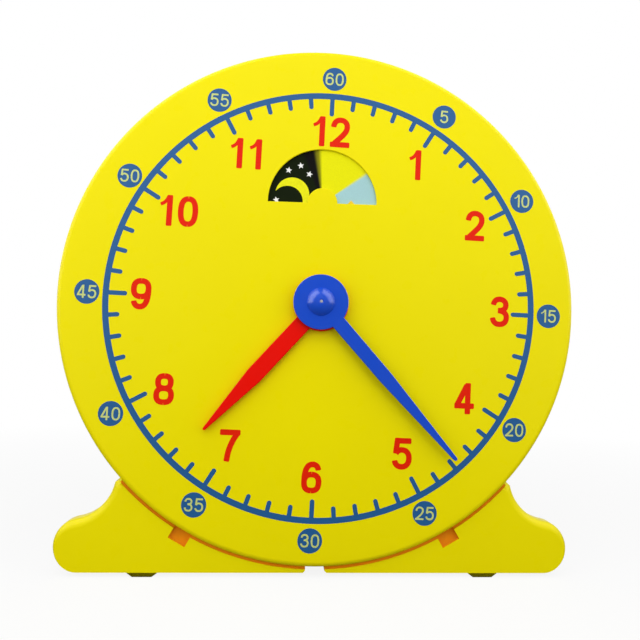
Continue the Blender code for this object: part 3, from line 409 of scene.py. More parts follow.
def dial_patches():
    """Face, rounded rim, wall and back of the dial, its window and the posts and bosses on its back."""
    flat_radius = DIAL_RADIUS - RIM_FILLET
    wall_inner = DIAL_RADIUS - WALL
    turn = np.linspace(0, math.pi / 2, 13)
    outer = np.concatenate([
        [(flat_radius - RIM_FILLET, 0.0)],
        np.stack([flat_radius + RIM_FILLET * np.sin(turn), RIM_FILLET * (1 - np.cos(turn))], axis=-1),
        [(DIAL_RADIUS, CASE_DEPTH - EDGE_BREAK), (DIAL_RADIUS - EDGE_BREAK, CASE_DEPTH)],
        [(wall_inner + EDGE_BREAK, CASE_DEPTH), (wall_inner, CASE_DEPTH - EDGE_BREAK), (wall_inner, WALL)],
        [(RIB_OUTER, WALL), (RIB_OUTER, RIB_DEPTH), (RIB_INNER, RIB_DEPTH), (RIB_INNER, WALL)]])
    window = [*rounded(window_outline, WINDOW_FILLET, 0.0), at_depth(window_outline(0.0), WINDOW_EDGE)]
    hole = [(CENTRE_HOLE, 0.0), (CENTRE_HOLE, SEAT_DEPTH), (CENTRE_SEAT, SEAT_DEPTH), (CENTRE_SEAT, WALL)]
    post = [(POCKET_INNER, WINDOW_EDGE), (POCKET_INNER, WALL), (WINDOW_POST_SEAT, WALL),
            (WINDOW_POST_SEAT, SEAT_DEPTH), (WINDOW_POST, SEAT_DEPTH), (WINDOW_POST, WINDOW_POST_END),
            (0, WINDOW_POST_END)]
    middle = np.array([0.0, WINDOW_RISE])
    steps = full_turn(ROUND_STEPS)
    pocket = polar(steps, POCKET_OUTER) + middle
    patches = [
        turned(outer, ROUND_STEPS),
        sheet(polar(steps, flat_radius - RIM_FILLET),
              [window_outline(WINDOW_FILLET), polar(steps, CENTRE_HOLE)], 0.0),
        sheet(polar(steps, RIB_INNER), [pocket, polar(steps, CENTRE_SEAT)], WALL),
        sheet(pocket, [window_outline(0.0), polar(steps, POCKET_INNER) + middle], WINDOW_EDGE),
        lofted(window),
        turned([(POCKET_OUTER, WINDOW_EDGE), (POCKET_OUTER, WALL)], ROUND_STEPS, middle),
        turned(post, ROUND_STEPS, middle),
        turned(hole, ROUND_STEPS),
        solid_round(GEAR_POST_SEAT, WALL - EDGE_BREAK, SEAT_DEPTH, (0.0, -GEAR_POST_DROP)),
        solid_round(GEAR_POST, WALL, GEAR_POST_END, (0.0, -GEAR_POST_DROP))]
    return patches + [solid_round(SCREW_BOSS, WALL - EDGE_BREAK, SCREW_BOSS_END, place)
                      for place in polar(SCREW_ANGLES, SCREW_CIRCLE)]


CLOUD_SIZE = 60 * MM
SKIN_SIZE = 9 * MM
SKIN_CHANGE = 0.07
PEEL_SIZE = 1.6 * MM
PEEL_HEIGHT = 0.03 * MM
PEEL_STRENGTH = 0.12


def new_material(name):
    """A material, its node tree, its shader's inputs and the place that its textures follow."""
    material = bpy.data.materials.new(name)
    material.use_nodes = True
    tree = material.node_tree
    return material, tree, tree.nodes["Principled BSDF"].inputs, node(tree, "TexCoord")["Object"]


def noise(tree, place, size, detail):
    """Smooth noise with spots of about the given size."""
    return node(tree, "TexNoise", place, Scale=1 / size, Detail=detail)["Fac"]


def roughened(tree, inputs, height, strength, distance):
    """Fine relief of the surface from a height."""
    bump = tree.nodes.new("ShaderNodeBump")
    bump.inputs["Strength"].default_value = strength
    bump.inputs["Distance"].default_value = distance
    tree.links.new(height, bump.inputs["Height"])
    tree.links.new(bump.outputs["Normal"], inputs["Normal"])


def uneven(tree, inputs, clouds, spots, colours, gloss):
    """Colour between two by the height of one noise, and roughness between two by another."""
    tree.links.new(mixed(tree, "RGBA", ranged(tree, clouds, 0.0, 1.0), *colours), inputs["Base Color"])
    tree.links.new(ranged(tree, spots, *gloss), inputs["Roughness"])


def moulded_plastic(name, colours, gloss, sheen=0.5):
    """Coloured plastic as it leaves the mould: faint flow clouding, a polished skin and fine orange peel."""
    material, tree, inputs, place = new_material(name)
    clouds, skin = noise(tree, place, CLOUD_SIZE, 3.0), noise(tree, place, SKIN_SIZE, 4.0)
    uneven(tree, inputs, clouds, skin, colours, (gloss, gloss + SKIN_CHANGE))
    roughened(tree, inputs, noise(tree, place, PEEL_SIZE, 2.0), PEEL_STRENGTH, PEEL_HEIGHT)
    inputs["Specular IOR Level"].default_value = sheen
    return material


yellow_plastic = moulded_plastic("yellow_plastic", (YELLOW, YELLOW_SHADE), gloss=0.26, sheen=0.08)
dial = moulding("dial_moulding", dial_patches(), yellow_plastic)
fit(dial, "case", "yellow_plastic", "front_dial")


# Minute track
# A blue ring with sixty round-ended ticks and twelve round spots, pad printed on the face.
# The whole print sits a little turned and a little off the moulding's axis, and its spots wander.

PRINT_TURN = math.radians(1.73)
PRINT_PLACE = np.array([1.0, -0.75]) * MM
INK_PROUD = 0.05 * MM
INK_ROOT = 0.03 * MM
RING_INNER = 121.3 * MM
RING_OUTER = 124.8 * MM
TICK_WIDTH = 2.6 * MM
SHORT_TICK_END = 115.2 * MM
LONG_TICK_END = 111.1 * MM
SPOT_RADIUS = 7.0 * MM
SPOT_PLACES = MM * np.array([133.6, 133.7, 134.1, 133.7, 133.4, 133.3, 134.2, 134.2, 134.1, 133.6, 132.9,
                             133.4])
SPOT_SHIFTS = np.radians([0.3, 0.1, -0.4, -0.1, 0.2, 1.0, 0.1, -0.4, -0.5, -0.1, 0.7, 0.4])

BLUE_INK = (0.014, 0.115, 0.33)
MOTTLE_SIZE = 1.2 * MM
MOTTLE_CHANGE = 0.08
THIN_SHARE = 0.9


def printed(outlines, front=-INK_PROUD, back=INK_ROOT, place=PRINT_PLACE):
    """Thin closed slab over the union of outlines, from before the face to just inside it."""
    flat, triangles = filled(outlines)
    flat = flat + place
    kept = np.array([face for face, sources in triangles])
    count = len(flat)
    edges = np.concatenate([kept[:, [0, 1]], kept[:, [1, 2]], kept[:, [2, 0]]])
    codes = edges[:, 0] * count + edges[:, 1]
    rim = edges[~np.isin(codes, edges[:, 1] * count + edges[:, 0])]
    walls = np.stack([rim[:, 1], rim[:, 0], rim[:, 0] + count, rim[:, 1] + count], axis=-1)
    faces = kept.tolist() + (kept[:, ::-1] + count).tolist() + walls.tolist()
    return np.concatenate([at_depth(flat, front), at_depth(flat, back)]), faces


def stroke(path, width, ends):
    """Outline of a pen stroke along a path: the path moved sideways by half the width, with rounded corners.

    Each end is pushed out by a share of the width and its corners are rounded by another share.
    """
    path = np.asarray(path, float)
    steps = np.gradient(path, axis=0)
    along = steps / np.linalg.norm(steps, axis=1, keepdims=True)
    path = path.copy()
    (start_push, start_round), (end_push, end_round) = ends
    path[0] -= along[0] * width * (start_push - start_round)
    path[-1] += along[-1] * width * (end_push - end_round)
    across = np.stack([along[:, 1], -along[:, 0]], axis=-1) * width / 2

    def end_cap(middle, forward, side, share):
        """Two quarter rounds with a flat between them, from one side of the stroke to the other."""
        if share == 0:
            return np.empty((0, 2))
        turn = np.linspace(0, math.pi / 2, 6)[:, None]
        radius = share * width
        inner = side * (1 - 2 * share)
        first = middle + inner + radius * (np.cos(turn) * 2 * side / width + np.sin(turn) * forward)
        second = middle - inner + radius * (np.sin(turn) * -2 * side / width + np.cos(turn) * forward)
        return np.concatenate([first[1:], second[:-1]])

    return np.concatenate([path + across, end_cap(path[-1], along[-1], across[-1], end_round),
                           (path - across)[::-1], end_cap(path[0], -along[0], -across[0], start_round)])


def ink(name, colour, gloss=0.42, sheen=0.25):
    """Printing ink: a film with slightly uneven gloss and a faint mottle from the printing pad."""
    material, tree, inputs, place = new_material(name)
    mottle = noise(tree, place, MOTTLE_SIZE, 3.0)
    thin = tuple(THIN_SHARE * value for value in colour)
    uneven(tree, inputs, mottle, mottle, (colour, thin), (gloss, gloss + MOTTLE_CHANGE))
    inputs["Specular IOR Level"].default_value = sheen
    return material


def spot_middles():
    """Middles of the twelve spots, from the top clockwise."""
    return polar(np.arange(12) * math.pi / 6 + SPOT_SHIFTS + PRINT_TURN, SPOT_PLACES)


def track_outlines():
    """Two half rings that overlap by whole steps, the ticks and the spots, about the print's centre."""
    step = math.pi / 144
    halves = [np.arange(0, 147) * step, np.arange(144, 291) * step]
    outlines = [np.concatenate([polar(half, RING_OUTER), polar(half[::-1], RING_INNER)]) for half in halves]
    ring_middle = (RING_INNER + RING_OUTER) / 2
    for minute in range(60):
        angle = minute * math.pi / 30 + PRINT_TURN
        end = SHORT_TICK_END if minute % 5 else LONG_TICK_END
        path = polar(angle, np.linspace(ring_middle, end, 3))
        outlines.append(stroke(path, TICK_WIDTH, ((0.0, 0.0), (0.0, 0.5))))
    return outlines + [polar(full_turn(64), SPOT_RADIUS) + middle for middle in spot_middles()]


blue_ink = ink("blue_ink", BLUE_INK)
track = moulding("minute_track_print", [printed(track_outlines())], blue_ink)
fit(track, "case", "blue_print")


# Numerals
# The twelve hours are printed in bold red figures, and the minutes in fine pale figures on the blue spots.

FIGURE_HEIGHT = 18 * MM
FIGURE_STROKE_SHARE = 0.18
FIGURE_GAP = 3.2 * MM
LABEL_HEIGHT = 7.5 * MM
LABEL_STROKE_SHARE = 0.13
LABEL_GAP = 1.1 * MM
WIDE_SHARE = 0.64
NARROW_SHARE = 0.43
LABEL_PROUD = 0.09 * MM
CURVE_STEPS = 9
HOUR_RADII = np.array([101.8, 99.2, 101.8, 104.4, 99.0, 97.4, 98.9, 96.0, 101.8, 103.4, 98.5, 98.5]) * MM
HOUR_SHIFTS = np.array([0.0, 0.5, -0.3, -0.7, 0.5, -1.0, 0.6, 0.2, -1.4, 0.1, -0.1, 0.1])

RED_INK = (0.84, 0.016, 0.0)
PALE_INK = (0.62, 0.70, 0.22)

PLAIN = (0.0, 0.0)
CUT = (0.0, 0.2)
SQUARE = (0.5, 0.2)
ROUND_RIGHT_SHARES = [(0.5, 1), (0.86, 1), (1, 0.82), (1, 0.5), (1, 0.18), (0.86, 0), (0.5, 0)]
HALF_RIGHT_SHARES = np.array(ROUND_RIGHT_SHARES)
HALF_LEFT_SHARES = np.array([1, 0]) + np.array([-1, 1]) * HALF_RIGHT_SHARES


def loop_shares(low, high, left=0.0, right=1.0):
    """Closed round as two halves, between the given edges of the figure's box."""
    size = np.array([right - left, high - low])
    corner = np.array([left, low])
    return [(corner + half * size, PLAIN, PLAIN) for half in (HALF_RIGHT_SHARES, HALF_LEFT_SHARES)]


ARM_SHARES = [(0.0, 0.36), (0.0, 0.82), (0.2, 1.0), (0.54, 1.0), (0.76, 1.0), (0.92, 0.92), (0.95, 0.775)]
SIX_SHARES = [*loop_shares(0.0, 0.61), (ARM_SHARES, PLAIN, CUT)]
FIGURE_SHARES = {
    "0": loop_shares(0.0, 1.0),
    "1": [([(1, 0), (1, 1)], SQUARE, SQUARE),
          ([(-0.16, 0.74), (0.3, 0.78), (0.62, 0.86), (0.84, 1.07)], CUT, PLAIN, 0.62)],
    "2": [([(0.02, 0.70), (0.04, 0.88), (0.2, 1.0), (0.5, 1.0), (0.8, 1.0), (0.99, 0.9), (0.99, 0.73),
            (0.99, 0.54), (0.78, 0.43), (0.5, 0.26), (0.3, 0.14), (0.12, 0.08), (0.05, -0.02)], CUT, PLAIN),
          ([(0, 0), (1, 0)], SQUARE, SQUARE)],
    "3": [([(0.04, 0.76), (0.08, 0.92), (0.25, 1.0), (0.49, 1.0), (0.76, 1.0), (0.94, 0.91), (0.94, 0.77),
            (0.94, 0.62), (0.75, 0.545), (0.38, 0.545)], CUT, CUT),
          ([(0.38, 0.545), (0.78, 0.545), (1, 0.45), (1, 0.28), (1, 0.1), (0.8, 0), (0.49, 0),
            (0.22, 0), (0.04, 0.09), (0.0, 0.26)], PLAIN, CUT)],
    "4": [([(0.74, 0), (0.74, 1)], SQUARE, SQUARE),
          ([(0, 0.21), (1, 0.21)], SQUARE, SQUARE),
          ([(-0.02, 0.22), (0.66, 1.02)], PLAIN, PLAIN)],
    "5": [([(0.16, 1), (0.93, 1)], SQUARE, SQUARE),
          ([(0.15, 1.0), (0.06, 0.50)], PLAIN, CUT),
          ([(0.07, 0.50), (0.18, 0.61), (0.32, 0.65), (0.48, 0.65), (0.8, 0.65), (1, 0.53), (1, 0.33),
            (1, 0.12), (0.8, 0), (0.5, 0), (0.22, 0), (0.04, 0.08), (0.0, 0.24)], PLAIN, CUT)],
    "6": SIX_SHARES,
    "7": [([(0, 1), (1, 1)], SQUARE, SQUARE),
          ([(1.0, 0.98), (0.64, 0.68), (0.42, 0.36), (0.36, 0.0)], PLAIN, SQUARE)],
    "8": [*loop_shares(0.53, 1.0, 0.07, 0.93), *loop_shares(0.0, 0.53)],
    "9": [(np.array([1, 1]) - np.asarray(controls), first, last) for controls, first, last in SIX_SHARES]}


def bezier(controls):
    """Chain of cubic curves through every third control point, or the straight line between two."""
    controls = np.asarray(controls, float)
    if len(controls) == 2:
        return controls[0] + np.linspace(0, 1, 3)[:, None] * (controls[1] - controls[0])
    corners = np.stack([controls[offset:len(controls) - 3 + offset:3] for offset in range(4)], axis=1)
    share = np.linspace(0, 1, CURVE_STEPS)[None, :, None]
    rest = 1 - share
    curve = (rest ** 3 * corners[:, None, 0] + 3 * rest ** 2 * share * corners[:, None, 1]
             + 3 * rest * share ** 2 * corners[:, None, 2] + share ** 3 * corners[:, None, 3])
    return np.concatenate([curve[0, :1], curve[:, 1:].reshape(-1, 2)])


def figure_outlines(text, height, stroke_share, gap):
    """Pen strokes of a row of figures about its own middle, with the pen's width inside the height."""
    width = stroke_share * height
    outlines, left = [], 0.0
    for figure in text:
        across = (NARROW_SHARE if figure == "1" else WIDE_SHARE) * height
        size = np.array([across - width, height - width])
        corner = np.array([left + width / 2, (width - height) / 2])
        for controls, first, last, *thin in FIGURE_SHARES[figure]:
            path = bezier(corner + np.asarray(controls) * size)
            outlines.append(stroke(path, width * (thin[0] if thin else 1.0), (first, last)))
        left += across + gap
    middle = np.array([(left - gap) / 2, 0.0])
    return [outline - middle for outline in outlines]


def placed(outlines, middle):
    """Outlines turned with the print and moved to their place on the dial."""
    cosine, sine = math.cos(PRINT_TURN), math.sin(PRINT_TURN)
    return [outline @ np.array([[cosine, -sine], [sine, cosine]]) + middle for outline in outlines]


def numbers(step, middles, sizes, *depths):
    """Twelve numbers, counted on by the step from the top, each printed at its own middle."""
    rows = [placed(figure_outlines(str(step * (index or 12)), *sizes), middle)
            for index, middle in enumerate(middles)]
    return [printed(outlines, *depths) for outlines in rows]


hour_middles = polar(np.radians(30 * np.arange(12) + HOUR_SHIFTS) + PRINT_TURN, HOUR_RADII)
hour_figures = numbers(1, hour_middles, (FIGURE_HEIGHT, FIGURE_STROKE_SHARE, FIGURE_GAP))
hours = moulding("hour_numeral_print", hour_figures, ink("red_ink", RED_INK, sheen=0.08))
fit(hours, "case", "red_print")
label_sizes = (LABEL_HEIGHT, LABEL_STROKE_SHARE, LABEL_GAP)
minute_figures = numbers(5, spot_middles(), label_sizes, -LABEL_PROUD, 0.0)
minutes = moulding("minute_numeral_print", minute_figures, ink("pale_ink", PALE_INK))
fit(minutes, "case", "pale_print")


# Day and night disc
# A printed card disc behind the window turns once a day: night with a moon and stars, dawn, day with a sun,
# and dusk. It is stuck to the front of its wheel and clears the post in the middle.

CARD_FRONT = 1.3 * MM
CARD_BACK = 1.9 * MM
CARD_INNER = 7.4 * MM
CARD_OUTER = 35.8 * MM
CARD_INK = 0.04 * MM
MOON_RADIUS = 9.9 * MM
MOON_MIDDLE = np.array([-17.7, 4.9]) * MM
MOON_BITE_RADIUS = 9.0 * MM
MOON_BITE_MIDDLE = np.array([-20.5, 0.8]) * MM
STAR_RADIUS = 2.0 * MM
STAR_NOTCH = 0.45 * STAR_RADIUS
STAR_POINTS = 5
STAR_PLACES = MM * np.array([(-20.1, 19.1), (-13.1, 22.0), (-7.9, 17.1), (-27.0, 1.2), (-28.6, -8.4),
                             (-14.2, -10.6), (-22.4, -17.5)])
STAR_TURNS = np.radians([10, -8, 14, -12, 20, 5, -16])
SUN_MIDDLE = np.array([16.9, -7.8]) * MM
SUN_NOTCH = 7.6 * MM
SUN_RAY = 10.2 * MM
SUN_RAYS = 8

NIGHT = (0.007, 0.013, 0.002)
NIGHT_EDGE = (0.006, 0.005, 0.005)
DAWN = (0.84, 0.82, 0.002)
DAY = (0.39, 0.64, 0.66)
DUSK = (0.86, 0.55, 0.06)
MOON_YELLOW = (0.86, 0.84, 0.01)
STAR_WHITE = (0.9, 0.9, 0.88)
SUN_ORANGE = (0.88, 0.60, 0.03)
HALF_LIGHT = (0.25, 0.24, 0.004)
SKY_STOPS = ((-180, NIGHT), (-150, NIGHT), (-143, DUSK), (-88, DUSK), (-82, DAY), (33.5, DAY), (37.5, DAWN),
             (91, DAWN), (96, HALF_LIGHT), (101.5, NIGHT_EDGE), (108, NIGHT_EDGE), (115, NIGHT), (180, NIGHT))
GRAIN_SIZE = 0.5 * MM
GRAIN_HEIGHT = 0.02 * MM
GRAIN_STRENGTH = 0.2
GRAIN_WEAR = 0.07
CARD_GLOSS = 0.62
CARD_SHEEN = 0.05


def about_axis(tree, place, height, depth_share=1.0):
    """The place measured from an axis along Y at a height, with its depth kept or flattened."""
    scale = (1.0, depth_share, 1.0)
    return node(tree, "Mapping", place, Location=(0.0, 0.0, -height), Scale=scale)["Vector"]


def sky_card():
    """Card printed with sectors of colour by the angle about the disc's axis, with soft edges."""
    material, tree, inputs, place = new_material("sky_card")
    parts = node(tree, "SeparateXYZ", about_axis(tree, place, CENTRE_Z + WINDOW_RISE))
    angle = node(tree, "Math", parts["Z"], parts["X"], operation="ARCTAN2")[0]
    ramp = tree.nodes.new("ShaderNodeValToRGB")
    ramp.color_ramp.interpolation = "EASE"
    stops = ramp.color_ramp.elements
    for index, (degrees, colour) in enumerate(SKY_STOPS):
        stop = stops[index] if index < 2 else stops.new(1.0)
        stop.position = (degrees + 180) / 360
        stop.color = (*colour, 1.0)
    tree.links.new(ranged(tree, angle, 0.0, 1.0, -math.pi, math.pi), ramp.inputs["Fac"])
    grain = noise(tree, place, GRAIN_SIZE, 2.0)
    worn = ranged(tree, grain, 0.0, GRAIN_WEAR)
    tree.links.new(mixed(tree, "RGBA", worn, ramp.outputs["Color"], NIGHT_EDGE), inputs["Base Color"])
    roughened(tree, inputs, grain, GRAIN_STRENGTH, GRAIN_HEIGHT)
    inputs["Roughness"].default_value = CARD_GLOSS
    inputs["Specular IOR Level"].default_value = CARD_SHEEN
    return material


def card_print(name, outlines, colour):
    """Small motif printed on the card, about the disc's axis."""
    place = (CARD_FRONT - CARD_INK, CARD_FRONT + CARD_INK, np.array([0.0, WINDOW_RISE]))
    patches = [printed([outline], *place) for outline in outlines]
    piece = moulding(name, patches, ink(name + "_ink", colour, gloss=0.6, sheen=CARD_SHEEN))
    fit(piece, "day_night", "printed_card")


def star_outline(middle, turn, points, tip, notch):
    """The radius steps between tip and notch as the angle goes round."""
    steps = np.arange(2 * points)
    return polar(steps * math.pi / points + turn, np.where(steps % 2, notch, tip)) + middle


def moon_outline():
    """Crescent: the arc of the moon's round outside the bite, and back along the arc of the bite."""
    axis = MOON_MIDDLE - MOON_BITE_MIDDLE
    apart = np.linalg.norm(axis)
    facing = math.atan2(axis[0], axis[1])
    moon, bite = MOON_RADIUS ** 2, MOON_BITE_RADIUS ** 2
    outer_half = math.pi - math.acos((moon + apart ** 2 - bite) / (2 * apart * MOON_RADIUS))
    bite_half = math.acos((bite + apart ** 2 - moon) / (2 * apart * MOON_BITE_RADIUS))
    outer = polar(facing + np.linspace(-outer_half, outer_half, 60), MOON_RADIUS) + MOON_MIDDLE
    inner = polar(facing + np.linspace(bite_half, -bite_half, 40), MOON_BITE_RADIUS) + MOON_BITE_MIDDLE
    return np.concatenate([outer, inner[1:-1]])


card_section = [(CARD_INNER, CARD_FRONT), (CARD_OUTER, CARD_FRONT), (CARD_OUTER, CARD_BACK),
                (CARD_INNER, CARD_BACK), (CARD_INNER, CARD_FRONT)]
card = moulding("day_night_card", [turned(card_section, ROUND_STEPS, (0.0, WINDOW_RISE))], sky_card())
fit(card, "day_night", "printed_card", "day_night_disc")
stars = [star_outline(*star, STAR_POINTS, STAR_RADIUS, STAR_NOTCH) for star in zip(STAR_PLACES, STAR_TURNS)]
card_print("star_print", stars, STAR_WHITE)
card_print("moon_print", [moon_outline()], MOON_YELLOW)
card_print("sun_print", [star_outline(SUN_MIDDLE, 0.0, SUN_RAYS, SUN_RAY, SUN_NOTCH)], SUN_ORANGE)


# Hands
# Flat mouldings with a large round hub. The red hour hand is pushed on its pipe, and the blue minute hand
# has a domed centre over the end of the arbor, with the pale mark of the moulding gate on top.

HUB_RADIUS = 15.75 * MM
HAND_FILLET = 0.45 * MM
HOUR_ANGLE = math.radians(221.8)
HOUR_FRONT = -3.6 * MM
HOUR_BACK = -1.2 * MM
HOUR_LENGTH = 97.2 * MM
HOUR_WIDTHS = (9.8 * MM, 9.7 * MM, 1.7 * MM)
HOUR_KNEE_SHARE = 0.577
HOUR_OFFSET = np.array([-0.75, 0.4]) * MM
PIPE_BORE = 6.1 * MM
MINUTE_ANGLE = math.radians(138.2)
MINUTE_FRONT = -6.6 * MM
MINUTE_BACK = -4.2 * MM
MINUTE_LENGTH = 118.2 * MM
MINUTE_WIDTHS = (8.1 * MM, 7.8 * MM, 2.2 * MM)
MINUTE_KNEE_SHARE = 0.478
SOCKET_BORE = 3.3 * MM
SOCKET_END = -9.4 * MM
DOME_RADIUS = 8 * MM
DOME_TOP = -11.0 * MM
GATE_RADIUS = 1.35 * MM
GATE_DEPTH = 0.3 * MM
GATE_SPOT = (0.6 * MM, 0.95 * MM)
GATE_SHARES = ((0.9, 0.7), (0.75, 1.0), (0.6, 0.3), (0.0, 0.1))

RED = (0.90, 0.004, 0.0)
RED_SHADE = (0.85, 0.004, 0.0)
BLUE = (0.012, 0.080, 0.64)
BLUE_SHADE = (0.011, 0.074, 0.60)
GATE_GREY = (0.45, 0.46, 0.44)


def turned_to(points, angle):
    """Points turned clockwise about the dial's centre, seen from the front."""
    x, z = points[..., 0], points[..., 2]
    return np.stack([x * math.cos(angle) + z * math.sin(angle), points[..., 1],
                     z * math.cos(angle) - x * math.sin(angle)], axis=-1)


def hand_outline(length, widths, knee_share, inset):
    """Hand that points up: a round hub, a nearly parallel blade, a knee and a long taper to a round tip."""
    root_width, knee_width, tip_width = widths
    hub = HUB_RADIUS - inset
    root_angle = math.asin((root_width / 2 - inset) / hub)
    tip = tip_width / 2 - inset / 2
    knee = knee_width / 2 - inset
    hub_arc = polar(np.linspace(root_angle, 2 * math.pi - root_angle, 145), hub)
    tip_arc = polar(np.linspace(-math.pi / 2, math.pi / 2, 13), tip) + np.array([0.0, length - inset - tip])
    left_knee = np.array([[-knee, length * knee_share]])
    right_knee = np.array([[knee, length * knee_share]])
    return np.concatenate([hub_arc, left_knee, tip_arc, right_knee])


def hand_patches(sizes, front, back, hole, angle, aside=(0.0, 0.0)):
    """Rounded front edge, straight sides and a hole through the back, or a socket that ends in the dome."""
    def outline(inset):
        """The hand's outline, off to one side of its bore."""
        return hand_outline(*sizes, inset) + np.asarray(aside)

    bore, bore_end = hole
    steps = full_turn(BORE_STEPS)
    rings = [*rounded(outline, HAND_FILLET, front), at_depth(outline(0.0), back)]
    patches = [lofted(rings), sheet(outline(0.0), [polar(steps, bore)], back)]
    if bore_end < front:
        patches.append(sheet(outline(HAND_FILLET), [polar(steps, DOME_RADIUS)], front))
        patches.append(turned([(bore, back), (bore, bore_end), (0, bore_end)], BORE_STEPS))
    else:
        patches.append(sheet(outline(HAND_FILLET), [polar(steps, bore)], front))
        patches.append(turned([(bore, back), (bore, front)], BORE_STEPS))
    return [(turned_to(points, angle), faces) for points, faces in patches]


def dome_profile():
    """Part of a ball from the crisp edge on the hub up to a small sunk gate mark on the axis."""
    rise = MINUTE_FRONT - DOME_TOP
    ball = (DOME_RADIUS ** 2 + rise ** 2) / (2 * rise)
    turn = np.linspace(math.asin(DOME_RADIUS / ball), math.asin(GATE_RADIUS / ball), 26)
    curve = np.stack([ball * np.sin(turn), DOME_TOP + ball * (1 - np.cos(turn))], axis=-1)
    gate = [(out * GATE_RADIUS, DOME_TOP + down * GATE_DEPTH) for out, down in GATE_SHARES]
    return np.concatenate([curve, gate])


def gate_marked(material):
    """Pale spot where the plastic ran in, within a small distance of the arbor's axis."""
    tree = material.node_tree
    base = tree.nodes["Principled BSDF"].inputs["Base Color"]
    reach = length_of(tree, about_axis(tree, node(tree, "TexCoord")["Object"], CENTRE_Z, 0.0))
    plain = base.links[0].from_socket
    tree.links.new(mixed(tree, "RGBA", ranged(tree, reach, 1.0, 0.0, *GATE_SPOT), plain, GATE_GREY), base)
    return material


red_plastic = moulded_plastic("red_plastic", (RED, RED_SHADE), gloss=0.3, sheen=0.1)
hour_hand = moulding("hour_hand_moulding",
                     hand_patches((HOUR_LENGTH, HOUR_WIDTHS, HOUR_KNEE_SHARE), HOUR_FRONT, HOUR_BACK,
                                  (PIPE_BORE, HOUR_FRONT), HOUR_ANGLE, HOUR_OFFSET), red_plastic)
fit(hour_hand, "hour", "red_plastic", "hour_hand")

minute_blue = gate_marked(moulded_plastic("minute_hand_blue", (BLUE, BLUE_SHADE), gloss=0.14))
minute_patches = hand_patches((MINUTE_LENGTH, MINUTE_WIDTHS, MINUTE_KNEE_SHARE), MINUTE_FRONT, MINUTE_BACK,
                              (SOCKET_BORE, SOCKET_END), MINUTE_ANGLE)
dome_points, dome_faces = turned(dome_profile(), BORE_STEPS)
minute_patches.append((turned_to(dome_points, MINUTE_ANGLE), dome_faces))
minute_hand = moulding("minute_hand_moulding", minute_patches, minute_blue)
fit(minute_hand, "minute", "blue_plastic", "minute_hand")


# Feet
# Two hollow yellow mouldings, open at the back. Each has a saddle under the rim, a snap tongue in a notch,
# a cheek behind the rim and a skid that runs back along the table. The seam and the notch carry a deep orange
# that is painted shade for the gap, where light reaches them only through the walls.

FOOT_HALF_SPAN = 147.1 * MM
FOOT_WEB = 3.3 * MM
FOOT_GAP = 10.9 * MM
FOOT_FRONT = 3 * MM
FOOT_REAR = 14 * MM
FOOT_END_RADIUS = 14.4 * MM
FOOT_NECK_RADIUS = 26.3 * MM
FOOT_SLOPE = math.radians(11.8)
FOOT_TIP_ANGLE = math.radians(47.6)
FOOT_TIP_WIDTH = 4.5 * MM
FOOT_FILLET = 4.5 * MM
FOOT_CORNER = 1.2 * MM
SADDLE = DIAL_RADIUS + 0.3 * MM
FOOT_DROP = SADDLE + FOOT_WEB
SKID_PLACE = 96.8 * MM
SKID_HEIGHT = 2.5 * MM
SKID_TOP = 17.9 * MM
SKID_SOLE = 10.8 * MM
SKID_DEPTHS = (3.5 * MM, 10 * MM, 14 * MM, 49 * MM)
SKID_RISES = (1 * MM, 1 * MM, 8 * MM, 4 * MM)
SKID_OVERLAP = 0.05 * MM
TONGUE_ANGLE = math.radians(29.8)
TONGUE_FRONT = 11 * MM
TONGUE_BACK = 13.4 * MM
TONGUE_WIDTH = 10 * MM
TONGUE_END = 144.9 * MM
NOTCH_WIDTH = 10.8 * MM
NOTCH_DEPTH = 7.4 * MM
NOTCH_BACK = 5.8 * MM
GUSSET_FRONT = 4.8 * MM
RELIEF_WIDTH = 1.4 * MM
RELIEF_BACK = 4 * MM
RELIEF_END = FOOT_TIP_ANGLE + math.radians(3)
CHEEK_FRONT = 24.3 * MM
CHEEK_BACK = 26.8 * MM
CHEEK_HEIGHT = 8 * MM
CHEEK_ANGLES = np.radians([16, 44])
SHELF_ANGLES = np.radians([15, 45])
SHELF_INNER = SADDLE + 0.3 * MM
SHELF_OUTER = SADDLE + 2.2 * MM
SHELF_BACK = 26.5 * MM
ROOT = 1 * MM
FLAT = math.radians(0.1)

# Painted shade: deep orange for the seam and notch faces, in place of the dim light through the plastic
# there.
SEAM_PAINTED_SHADE = (0.90, 0.30, 0.0)
SEAM_PAINTED_SHADE_DEEP = (0.87, 0.28, 0.0)


